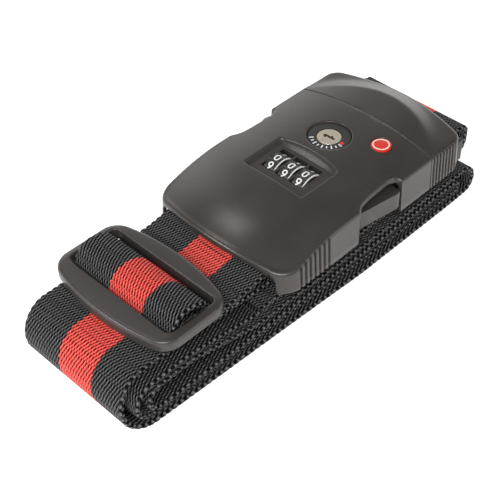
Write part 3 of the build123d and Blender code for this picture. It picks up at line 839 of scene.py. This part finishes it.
# Adjuster paths, as (x, z) in the plane y = ADJ_Y.
HUMP = [
    (-101.0, 22.0), (-96.8, 22.05), (-95.4, 22.5), (-94.7, 23.8), (-94.1, 26.0), (-93.0, 28.3),
    (-91.4, 30.1), (-89.3, 31.1), (-87.0, 31.4), (-84.7, 31.15), (-82.4, 30.4), (-80.2, 29.0),
    (-78.5, 27.0), (-77.4, 24.8), (-76.9, 23.2), (-75.9, 22.3), (-74.4, 22.0), (-72.0, 22.0),
]
SEWN_LOOP = [
    (-86.0, 25.15), (-83.4, 25.15), (-82.6, 24.9), (-82.3, 24.2), (-82.3, 22.9), (-82.7, 22.3),
    (-83.6, 22.1), (-88.4, 22.1), (-89.3, 22.3), (-89.7, 22.9), (-89.7, 24.2), (-89.4, 24.9),
    (-88.6, 25.15), (-86.3, 25.15),
]


def adjuster_path(stations):
    return [(x, z, ADJ_Y) for x, z in stations]


def coil_step(x, z):
    fine = (z > 17.5 and x < -50) or x < -100 or x > 46
    return FINE_STEP if fine else COARSE_STEP


def male_step(x, z):
    return FINE_STEP if x > 44 else COARSE_STEP


def fine_step(x, z):
    return FINE_STEP


def coarse_step(x, z):
    return COARSE_STEP


coil = band("coiled_webbing_weave", coil_path, coil_step)
feed = band("webbing_feed_run", feed_path, coarse_step)
male_web = band("male_end_webbing_weave", male_path, male_step, sigma=0.6)
hump = band("adjuster_webbing_weave", adjuster_path(HUMP), fine_step, sigma=0.7)
sewn = band("adjuster_sewn_loop_weave", adjuster_path(SEWN_LOOP), fine_step,
            width=47.0, thick=0.9, relief=0.2, sigma=0.3)
place(coil, "female_half", "coiled_webbing")
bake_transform(feed)
place(male_web, "insert_half", "male_end_webbing")
place(hump, "adjuster", "adjuster_webbing")
place(sewn, "adjuster", "adjuster_sewn_loop")


def stitch_rows(name, xs, z, length, body, node):
    """Five columns of lens-shaped stitches lying along X."""
    verts, faces = [], []
    n, m = 10, 8  # rings along a stitch and points round it
    for x in xs:
        for y in (-21, -10.5, 0, 10.5, 21):
            base = len(verts)
            for i in range(n + 1):
                a = math.pi * i / n
                r = 0.28 * math.sin(a) ** 0.6 if 0 < i < n else 0.02
                for j in range(m):
                    b = 2 * math.pi * j / m
                    verts.append((x - length / 2 * math.cos(a), y + r * math.cos(b),
                                  z + 0.12 + r * 0.75 * math.sin(b)))
            faces += (ring_faces(n + 1, m) + base).tolist()
            faces.append([base + j for j in range(m)][::-1])
            faces.append([base + n * m + j for j in range(m)])
    ob = add_mesh(name, verts, faces)
    fix_normals(ob)
    return place(ob, body, node)


stitching = [
    stitch_rows("sewn_end_thread", [-77.5 + 3.2 * i for i in range(4)], 17.2, 2.4,
                "female_half", "sewn_end_stitching"),
    stitch_rows("insert_loop_thread", [48.5 + 2.6 * i for i in range(3)], 24.35, 2.0,
                "insert_half", "insert_loop_stitching"),
]

# ------------------------------------------------------------ dial numerals
# Strokes of each digit, as (across, up) from its middle.
SIDE, TALL = 0.84, 1.42  # half width and half height
DIGITS = [
    [oval(0, TALL - SIDE, SIDE, SIDE, 0, 180) + oval(0, SIDE - TALL, SIDE, SIDE, 180, 360)
     + [(SIDE, TALL - SIDE)]],
    [[(-0.45, 0.9), (0.1, TALL), (0.1, -TALL)]],
    [oval(0, TALL - SIDE, SIDE, SIDE, 170, -35) + [(-SIDE, -TALL), (SIDE + 0.1, -TALL)]],
    [oval(0, 0.72, SIDE * 0.9, 0.7, 160, -85) + oval(0, -0.68, SIDE, 0.74, 85, -160)],
    [[(0.45, -TALL), (0.45, TALL), (-SIDE, -0.5), (SIDE + 0.15, -0.5)]],
    [[(SIDE, TALL), (-0.65, TALL), (-0.75, 0.15)] + oval(0, -0.5, SIDE, 0.92, 130, -150)],
    [[(0.55, TALL), (-0.5, 0.35)] + oval(0, -0.58, SIDE, 0.84, 150, 510, 24)],
    [[(-SIDE, TALL), (SIDE, TALL), (-0.25, -TALL)]],
    [oval(0, 0.74, 0.72, 0.68, -90, 270, 24), oval(0, -0.66, SIDE, 0.76, 90, 450, 24)],
    [[(-0.55, -TALL), (0.5, -0.35)] + oval(0, 0.58, SIDE, 0.84, -30, 330, 24)],
]
STROKE_HALF = 0.27
# Corners of a stroke's section: side of the stroke, radius from the dial axis.
STROKE_SECTION = [(side, DIAL_R + rise)
                  for side, rise in ((-1, -0.12), (-1, 0.045), (1, 0.045), (1, -0.12))]


def numerals(n, mid_y):
    """Ten digits wrapped round a dial."""
    verts, faces = [], []
    for digit, strokes in enumerate(DIGITS):
        for stroke in strokes:
            line = np.array(subdivide(stroke, 0.22) + [np.array(stroke[-1], float)])
            closed = np.linalg.norm(line[0] - line[-1]) < 1e-6
            if closed:
                line = line[:-1]
                d = np.roll(line, -1, 0) - np.roll(line, 1, 0)
            else:
                d = np.gradient(line, axis=0)
            d /= np.linalg.norm(d, axis=1)[:, None] + 1e-9
            base = len(verts)
            for p, aside in zip(line, np.stack([-d[:, 1], d[:, 0]], 1)):
                for side, r in STROKE_SECTION:
                    across, up = p + aside * STROKE_HALF * side
                    t = math.radians(36.0 * digit) + up / DIAL_R
                    verts.append((DIAL_X + r * math.sin(t), mid_y - across,
                                  DIAL_Z + r * math.cos(t)))
            count = len(line)
            for i in range(count if closed else count - 1):
                a, b = base + 4 * i, base + 4 * ((i + 1) % count)
                faces += [(a + k, a + (k + 1) % 4, b + (k + 1) % 4, b + k) for k in range(4)]
            if not closed:
                end = base + 4 * (count - 1)
                faces.append((base, base + 3, base + 2, base + 1))
                faces.append((end, end + 1, end + 2, end + 3))
    ob = add_mesh("dial_%d_numerals" % n, verts, faces, smooth=False)
    fix_normals(ob)
    return place(ob, "dial_%d" % n)


# Section of the white ring at the -Y face of each dial: radius over the dial's, y from the middle of
# the dial.
RING_SECTION = [(-0.5, -2.76), (-0.02, -2.76), (0.05, -2.7), (0.05, -2.5), (-0.1, -2.44), (-0.5, -2.44)]


def white_ring(n, mid_y):
    """White ring at the -Y face of a dial."""
    a = np.linspace(0, 2 * math.pi, 96, endpoint=False)
    rings = []
    for rise, dy in RING_SECTION:
        r = DIAL_R + rise
        rings.append(np.stack([DIAL_X + r * np.sin(a), np.full(len(a), mid_y + dy),
                               DIAL_Z + r * np.cos(a)], 1))
    ob = looped("dial_%d_trim_ring" % n, rings)
    mark_sharp(ob, 40)
    return place(ob, "dial_%d" % n)


white_parts = []
for n, (low, high) in dial_boxes.items():
    mid_y = (low[1] + high[1]) / 2
    white_parts += [numerals(n, mid_y), white_ring(n, mid_y)]


# ------------------------------------------------------- marks on the lock ring
def lock_ticks():
    """Nine radial ticks, every second one shorter."""
    half, marks = 0.24, []
    for i, a in enumerate(np.radians(np.linspace(138, 258, 9))):
        c, s = math.cos(a), math.sin(a)
        r0, r1 = (5.95, 7.75) if i % 2 == 0 else (6.25, 7.45)
        verts = [(LOCK_X + r * c - w * s, LOCK_Y + r * s + w * c, z)
                 for z in (LOCK_TOP - 0.2, LOCK_TOP + 0.05)
                 for r, w in ((r0, -half), (r1, -half), (r1, half), (r0, half))]
        faces = [(0, 1, 2, 3), (7, 6, 5, 4), (0, 4, 5, 1), (1, 5, 6, 2), (2, 6, 7, 3), (3, 7, 4, 0)]
        mark = add_mesh("tick", verts, faces, smooth=False)
        fix_normals(mark)
        marks.append(mark)
    return place(join("lock_ring_ticks", marks), "female_half")


white_parts.append(lock_ticks())
dot = post("lock_ring_dot", LOCK_X, LOCK_Y - 6.3, LOCK_TOP - 0.3, 0.4, 0.85, bevel=0.1)
place(dot, "female_half")

# ---------------------------------------------------------------------- badge
# Profiles: radius, height over the crown.
BADGE_DISC = [(0.05, -0.9), (3.95, -0.9), (3.95, -0.05), (3.8, 0.08), (3.3, 0.14), (2.0, 0.2),
              (0.6, 0.23), (0.05, 0.235)]
BADGE_RING = [(2.75, 0), (2.8, 0.23), (2.95, 0.27), (3.2, 0.25), (3.3, 0.2), (3.35, 0)]


def badge_rings(profile):
    base_z = float(crown(BADGE_X, BADGE_Y))
    return revolved_rings([(r, base_z + dz) for r, dz in profile], BADGE_X, BADGE_Y, 72)


badge = loft("badge_disc", badge_rings(BADGE_DISC), sharp=35)
badge_ring = looped("badge_ring", badge_rings(BADGE_RING))
place(badge, "female_half", "cover_badge")
place(badge_ring, "female_half")


# --------------------------------------------------------------- reset spring
def reset_spring():
    """Return spring of the code reset button; the real spring shortens when the button is pushed, and
    this one is built at a single length.
    """
    coil_r, wire_r, x, z, height, turns = 1.9, 0.22, -36, 18.27, 3.66, 4
    angles = np.linspace(0, 2 * math.pi * turns, turns * 28 + 1)
    rings = []
    for t in angles:
        c, s = math.cos(t), math.sin(t)
        hub = np.array([x + coil_r * c, coil_r * s, z + height * t / angles[-1]])
        out = np.array([c, s, 0.0])
        tangent = np.array([-coil_r * s, coil_r * c, height / angles[-1]])
        side = np.cross(out, tangent / np.linalg.norm(tangent))
        rings.append(np.array([hub + wire_r * (math.cos(a) * out + math.sin(a) * side)
                               for a in np.linspace(0, 2 * math.pi, 12, endpoint=False)]))
    spring = place(loft("reset_return_spring", rings), "female_half", "reset_spring")
    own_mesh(spring)


reset_spring()

# Rounded edges on the hard CAD parts: bevel width.
EDGE_ROUNDING = {
    "latch_arm_left": 0.45, "latch_arm_right": 0.45, "male_frame": 0.3,
    "female_bottom_cover": 0.2, "male_bottom_cover": 0.2, "lock_plate": 0.12,
}
for node_name, width in EDGE_ROUNDING.items():
    weld = nodes[node_name].modifiers.new("weld", "WELD")
    weld.merge_threshold = 2e-6
    bevel = nodes[node_name].modifiers.new("round", "BEVEL")
    bevel.width = width * MM
    bevel.segments = 3
    bevel.limit_method = "ANGLE"
    bevel.angle_limit = math.radians(38)
    bevel.use_clamp_overlap = True
    bevel.harden_normals = False


# ---------------------------------------------------------------- shader tools
def grey(value):
    return (value, value, value)


def new_material(name):
    material = bpy.data.materials.new(name)
    material.use_nodes = True
    tree = material.node_tree
    return material, tree, tree.nodes["Principled BSDF"]


def feed_socket(tree, socket, value):
    """Sets a socket to a number or links it to an output."""
    if isinstance(value, (int, float)):
        socket.default_value = value
    else:
        tree.links.new(value, socket)


def object_coords(tree):
    return tree.nodes.new("ShaderNodeTexCoord").outputs["Object"]


def stretched(tree, vector, scale):
    mapping = tree.nodes.new("ShaderNodeMapping")
    mapping.inputs["Scale"].default_value = scale
    tree.links.new(vector, mapping.inputs["Vector"])
    return mapping.outputs["Vector"]


def noise(tree, vector, scale, detail, rough):
    node = tree.nodes.new("ShaderNodeTexNoise")
    node.inputs["Scale"].default_value = scale
    node.inputs["Detail"].default_value = detail
    node.inputs["Roughness"].default_value = rough
    tree.links.new(vector, node.inputs["Vector"])
    return node.outputs["Fac"]


def ramp(tree, value, stops):
    """Colour ramp with stops of (position, colour)."""
    node = tree.nodes.new("ShaderNodeValToRGB")
    elements = node.color_ramp.elements
    while len(elements) < len(stops):
        elements.new(0.5)
    for element, (position, color) in zip(elements, stops):
        element.position = position
        element.color = (*color, 1)
    tree.links.new(value, node.inputs["Fac"])
    return node.outputs["Color"]


def remap(tree, value, low, high):
    node = tree.nodes.new("ShaderNodeMapRange")
    node.inputs["To Min"].default_value = low
    node.inputs["To Max"].default_value = high
    tree.links.new(value, node.inputs["Value"])
    return node.outputs["Result"]


def mix_color(tree, a, b, factor, blend="MIX"):
    node = tree.nodes.new("ShaderNodeMix")
    node.data_type = "RGBA"
    node.blend_type = blend
    feed_socket(tree, node.inputs["Factor"], factor)
    tree.links.new(a, node.inputs["A"])
    tree.links.new(b, node.inputs["B"])
    return node.outputs["Result"]


def bump(tree, bsdf, height, strength, distance):
    node = tree.nodes.new("ShaderNodeBump")
    node.inputs["Strength"].default_value = strength
    node.inputs["Distance"].default_value = distance
    tree.links.new(height, node.inputs["Height"])
    tree.links.new(node.outputs["Normal"], bsdf.inputs["Normal"])


# ------------------------------------------------------------------- materials
def plastic(name, dark, light, rough):
    """Moulded plastic: cloudy tone and a fine grain."""
    material, tree, bsdf = new_material(name)
    vector = object_coords(tree)
    cloud = noise(tree, vector, scale=60, detail=3, rough=0.5)
    grain = noise(tree, vector, scale=4200, detail=2, rough=0.6)
    tree.links.new(ramp(tree, cloud, [(0.3, dark), (0.7, light)]), bsdf.inputs["Base Color"])
    tree.links.new(remap(tree, grain, rough - 0.05, rough + 0.07), bsdf.inputs["Roughness"])
    bsdf.inputs["Specular IOR Level"].default_value = 0.5
    bump(tree, bsdf, grain, strength=0.12, distance=0.00006)
    return material


def metal(name, color, rough, streak=(1, 60, 1)):
    """Metal with a noise stretched by streak."""
    material, tree, bsdf = new_material(name)
    vector = stretched(tree, object_coords(tree), streak)
    fine = noise(tree, vector, scale=300, detail=5, rough=0.6)
    dark = tuple(c * 0.78 for c in color)
    tree.links.new(ramp(tree, fine, [(0.35, dark), (0.65, color)]), bsdf.inputs["Base Color"])
    bsdf.inputs["Metallic"].default_value = 1.0
    tree.links.new(remap(tree, fine, rough - 0.07, rough + 0.1), bsdf.inputs["Roughness"])
    bump(tree, bsdf, fine, strength=0.15, distance=0.00004)
    return material


def painted(name, color, dark, rough):
    material, tree, bsdf = new_material(name)
    fine = noise(tree, object_coords(tree), scale=900, detail=4, rough=0.6)
    tree.links.new(ramp(tree, fine, [(0.3, dark), (0.62, color)]), bsdf.inputs["Base Color"])
    tree.links.new(remap(tree, fine, rough - 0.06, rough + 0.1), bsdf.inputs["Roughness"])
    bump(tree, bsdf, fine, strength=0.08, distance=0.00005)
    return material


def webbing():
    """Woven polyester, black with a red stripe; its yarns follow the band attributes."""
    material, tree, bsdf = new_material("woven_polyester")
    vector = object_coords(tree)

    def attribute(name):
        node = tree.nodes.new("ShaderNodeAttribute")
        node.attribute_name = name
        return node.outputs["Fac"]

    def calc(operation, *values):
        node = tree.nodes.new("ShaderNodeMath")
        node.operation = operation
        for socket, value in zip(node.inputs, values):
            feed_socket(tree, socket, value)
        return node.outputs[0]

    def dashes(du, v, half, thick, power):
        """Soft dashes of a half length and thickness, centred on whole values of v."""
        dv = calc("SUBTRACT", v, calc("ROUND", v))
        fall_u = calc("POWER", calc("DIVIDE", calc("ABSOLUTE", du), half), power)
        fall_v = calc("POWER", calc("DIVIDE", calc("ABSOLUTE", dv), thick), 2)
        return calc("EXPONENT", calc("MULTIPLY", calc("ADD", fall_u, fall_v), -1))

    lift, along, across = attribute("lift"), attribute("along"), attribute("across")
    is_red = calc("GREATER_THAN", attribute("stripe"), 0.5)
    fibre = noise(tree, stretched(tree, vector, (0.35, 2.2, 1.2)), scale=5200, detail=3, rough=0.6)
    blot = noise(tree, vector, scale=240, detail=3, rough=0.5)

    # the two sets of yarns, as in weave()
    du = calc("SUBTRACT", along, calc("ROUND", along))
    du2 = calc("SUBTRACT", along, calc("ADD", calc("FLOOR", along), 0.5))
    wander = calc("SINE", calc("MULTIPLY", calc("ROUND", along), WOBBLE_RATE))
    v = calc("ADD", calc("SUBTRACT", across, calc("MULTIPLY", du, SKEW)),
             calc("MULTIPLY", wander, WOBBLE))
    v2 = calc("ADD", calc("SUBTRACT", across, calc("MULTIPLY", du2, SKEW)), 0.5)
    gap = calc("MULTIPLY", dashes(du, v, half=0.31, thick=0.19, power=4), 1.0)
    gap2 = calc("MULTIPLY", dashes(du2, v2, half=0.22, thick=0.16, power=4), 0.72)
    gap = calc("MINIMUM", calc("ADD", gap, gap2), 1)
    crest = dashes(du, calc("ADD", v, 0.5), half=0.26, thick=0.17, power=2)
    crest2 = dashes(du2, calc("ADD", v2, 0.5), half=0.22, thick=0.16, power=2)
    crest = calc("MULTIPLY", calc("MAXIMUM", crest, calc("MULTIPLY", crest2, 0.8)), 1)

    # yarn colour by height: the lift ramps paint shade into the low hollows and a highlight onto the
    # high yarn tops; then fibre streaks, a painted highlight on the yarn crests and painted shade in
    # the gaps
    black = ramp(tree, lift, [
        (0.3, (0.001, 0.001, 0.0011)), (0.6, (0.023, 0.0228, 0.0235)), (0.95, (0.16, 0.157, 0.163))])
    red = ramp(tree, lift, [
        (0.1, (0.2, 0.002, 0.002)), (0.4, (0.95, 0.022, 0.016)), (0.9, (1.0, 0.17, 0.13))])
    color = mix_color(tree, black, red, factor=is_red)
    streaks = ramp(tree, fibre, [(0.3, grey(0.55)), (0.7, grey(1.15))])
    color = mix_color(tree, color, streaks, factor=0.55, blend="MULTIPLY")
    # painted highlight along the yarn crests, weaker on the red stripe
    painted_crest_highlight = ramp(tree, crest, [(0.0, grey(0.7)), (1.0, grey(1.0))])
    less_on_red = calc("SUBTRACT", 1.0, calc("MULTIPLY", is_red, 0.6))
    color = mix_color(tree, color, painted_crest_highlight, factor=less_on_red, blend="MULTIPLY")
    # painted shade in the gaps between yarns, a little weaker on the red stripe
    painted_gap_shade = ramp(tree, gap, [(0.1, grey(1)), (0.75, (0.06, 0.05, 0.05))])
    less_on_red = calc("SUBTRACT", 1.0, calc("MULTIPLY", is_red, 0.22))
    color = mix_color(tree, color, painted_gap_shade, factor=less_on_red, blend="MULTIPLY")
    tree.links.new(color, bsdf.inputs["Base Color"])

    specular = ramp(tree, gap, [(0.1, grey(0.5)), (0.7, grey(0.02))])
    tree.links.new(specular, bsdf.inputs["Specular IOR Level"])
    yarns = calc("SUBTRACT", calc("MULTIPLY", crest, 0.45), calc("MULTIPLY", gap, 0.8))
    relief = calc("ADD", calc("MULTIPLY", fibre, 0.12), yarns)
    tree.links.new(remap(tree, blot, 0.4, 0.5), bsdf.inputs["Roughness"])
    bsdf.inputs["Sheen Weight"].default_value = 0.04
    bsdf.inputs["Sheen Roughness"].default_value = 0.4
    bump(tree, bsdf, relief, strength=0.9, distance=0.0004)
    return material


cover_mat = plastic("satin_charcoal", dark=(0.036, 0.0305, 0.0272),
                    light=(0.044, 0.038, 0.0338), rough=0.28)
# darker copy of the cover plastic for the parts inside the covers: painted shade
shaded_inner_mat = plastic("inner_charcoal_painted_shade", dark=(0.024, 0.022, 0.021),
                    light=(0.032, 0.030, 0.028), rough=0.5)
adjuster_mat = plastic("adjuster_charcoal", dark=(0.036, 0.031, 0.0285),
                       light=(0.043, 0.0375, 0.035), rough=0.33)
latch_mat = plastic("latch_charcoal", dark=(0.034, 0.031, 0.029),
                    light=(0.042, 0.039, 0.036), rough=0.38)
lock_mat = plastic("lock_ring_charcoal", dark=(0.016, 0.015, 0.0145),
                   light=(0.023, 0.022, 0.021), rough=0.42)
dial_mat = plastic("dial_charcoal", dark=(0.016, 0.0155, 0.015),
                   light=(0.024, 0.023, 0.022), rough=0.36)
web_mat = webbing()
thread_mat = painted("black_thread", color=(0.03, 0.03, 0.031), dark=grey(0.012), rough=0.6)
steel_mat = metal("plated_steel", color=(0.58, 0.58, 0.6), rough=0.3)
dark_steel_mat = metal("black_zinc", color=(0.2, 0.2, 0.21), rough=0.38)
zinc_mat = metal("cast_zinc", color=(0.55, 0.55, 0.56), rough=0.42, streak=(3, 3, 3))
brass_mat = metal("pale_brass", color=(0.93, 0.85, 0.68), rough=0.33, streak=(2, 30, 2))
white_mat = painted("white_paint", color=(0.86, 0.86, 0.85), dark=(0.74, 0.74, 0.73), rough=0.4)
red_mat = painted("red_enamel", color=(0.72, 0.035, 0.02), dark=(0.6, 0.025, 0.015), rough=0.28)
cream_mat = painted("cream_enamel", color=(0.85, 0.78, 0.66), dark=(0.76, 0.69, 0.57), rough=0.35)


def paint(material, *obs):
    for ob in obs:
        ob.data.materials.clear()
        ob.data.materials.append(material)
        for face in ob.data.polygons:
            face.material_index = 0


paint(cover_mat, female_cover, male_cover)
paint(adjuster_mat, adjuster)
paint(shaded_inner_mat, *bosses)
paint(web_mat, coil, feed, male_web, hump, sewn)
paint(thread_mat, *stitching)
paint(white_mat, *white_parts)
paint(red_mat, dot, badge)
paint(cream_mat, badge_ring)

# CAD pieces take the material of their slot, apart from a few.
SLOT_MATERIALS = {
    "cover_plastic": cover_mat, "inner_plastic": shaded_inner_mat, "webbing": web_mat,
    "thread": thread_mat, "steel": steel_mat, "screw_steel": dark_steel_mat,
    "dial_plastic": dial_mat, "zinc": zinc_mat, "brass_plug": brass_mat, "badge": red_mat,
}
SPECIAL = {"latch_arm_left": latch_mat, "latch_arm_right": latch_mat, "cylinder_housing": lock_mat}
for subpart in frame["record"]["subparts"]:
    node_name = subpart["node"]
    if node_name in nodes:
        paint(SPECIAL.get(node_name, SLOT_MATERIALS[subpart["material_slot"]]), nodes[node_name])


# ------------------------------------------------------------------ the stage
def build_floor():
    half, z = 3000, -0.3
    corners = [(-half, -half, z), (half, -half, z), (half, half, z), (-half, half, z)]
    floor = add_mesh("floor", corners, [(0, 1, 2, 3)], smooth=False)
    material, tree, bsdf = new_material("pale_floor")
    cloud = noise(tree, object_coords(tree), scale=3, detail=3, rough=0.5)
    tone = ramp(tree, cloud, [(0.2, grey(0.93)), (0.8, grey(0.96))])
    tree.links.new(tone, bsdf.inputs["Base Color"])
    bsdf.inputs["Roughness"].default_value = 0.9
    bsdf.inputs["Specular IOR Level"].default_value = 0.1
    bsdf.inputs["Emission Color"].default_value = (1, 1, 1, 1)
    bsdf.inputs["Emission Strength"].default_value = 0.5
    floor.data.materials.append(material)
    return floor


def build_world():
    """Grey sky, bright at the horizon, with two brighter patches."""
    world = bpy.data.worlds.new("studio")
    scene.world = world
    world.use_nodes = True
    tree = world.node_tree
    background = tree.nodes["Background"]
    direction = tree.nodes.new("ShaderNodeTexCoord").outputs["Generated"]

    def grey_ramp(value, stops):
        return ramp(tree, value, [(position, grey(tone)) for position, tone in stops])

    def add_lobe(sky, towards, stops):
        """Adds a soft patch of brighter sky round a direction."""
        dot_node = tree.nodes.new("ShaderNodeVectorMath")
        dot_node.operation = "DOT_PRODUCT"
        size = math.sqrt(sum(c * c for c in towards))
        dot_node.inputs[1].default_value = tuple(c / size for c in towards)
        tree.links.new(direction, dot_node.inputs[0])
        lobe = grey_ramp(dot_node.outputs["Value"], stops)
        return mix_color(tree, sky, lobe, factor=1.0, blend="ADD")

    split = tree.nodes.new("ShaderNodeSeparateXYZ")
    tree.links.new(direction, split.inputs["Vector"])
    sky = grey_ramp(split.outputs["Z"],
                    [(0.0, 0.9), (0.18, 0.8), (0.42, 0.24), (0.6, 0.1), (1.0, 0.16)])
    sky = add_lobe(sky, towards=(0.3, 0.83, 0.46), stops=[(0.9, 0.0), (0.96, 0.5), (1.0, 1.6)])
    sky = add_lobe(sky, towards=(0.82, 0.5, 0.2), stops=[(0.88, 0.0), (0.96, 0.7), (1.0, 1.8)])
    tree.links.new(sky, background.inputs["Color"])
    background.inputs["Strength"].default_value = 1.0


def softbox(name, location, target, size, power):
    """Rectangular area light; metres and watts."""
    light = bpy.data.lights.new(name, "AREA")
    light.shape = "RECTANGLE"
    light.size, light.size_y = size
    light.energy = power
    ob = bpy.data.objects.new(name, light)
    scene.collection.objects.link(ob)
    ob.location = location
    aim = Vector(target) - Vector(location)
    ob.rotation_euler = aim.to_track_quat("-Z", "Y").to_euler()
    return ob


floor = build_floor()
build_world()
softbox("key_box", location=(-0.75, -0.5, 0.95), target=(0, 0, 0.02),
            size=(0.6, 0.5), power=12.0)
softbox("spot_box", location=(-0.02, 0.47, 0.9), target=(-0.03, 0, 0.02),
            size=(0.03, 0.11), power=0.65)
softbox("side_box", location=(0.3, -0.9, 0.4), target=(0, 0, 0.02),
            size=(0.5, 0.3), power=1.5)
softbox("front_box", location=(-0.82, 0.42, 0.58), target=(-0.03, 0, 0.02),
            size=(0.3, 0.26), power=4.0)

# --------------------------------------------------------------------- camera
CAMERA_PLACE = (-0.24632, -0.20973, 0.29264)  # metres
DOWN_TILT, HEADING, ROLL = (math.radians(a) for a in (43.91, 44.50, -0.70))


def build_camera():
    ahead = Vector((math.cos(HEADING), math.sin(HEADING), 0))
    level_right = Vector((math.sin(HEADING), -math.cos(HEADING), 0))
    forward = ahead * math.cos(DOWN_TILT) - Vector((0, 0, math.sin(DOWN_TILT)))
    level_up = ahead * math.sin(DOWN_TILT) + Vector((0, 0, math.cos(DOWN_TILT)))
    right = level_right * math.cos(ROLL) + level_up * math.sin(ROLL)
    up = level_up * math.cos(ROLL) - level_right * math.sin(ROLL)
    camera = bpy.data.objects.new("camera", bpy.data.cameras.new("camera"))
    scene.collection.objects.link(camera)
    matrix = Matrix((right, up, -forward)).transposed().to_4x4()
    matrix.translation = Vector(CAMERA_PLACE)
    camera.matrix_world = matrix
    camera.data.sensor_width = 36
    camera.data.lens = 79.30
    camera.data.shift_x = -0.0032
    camera.data.shift_y = 0.0016
    camera.data.clip_start = 0.01
    camera.data.clip_end = 20
    scene.camera = camera


build_camera()
scene.view_settings.view_transform = "Standard"
scene.view_settings.look = "None"
scene.view_settings.exposure = 0.0
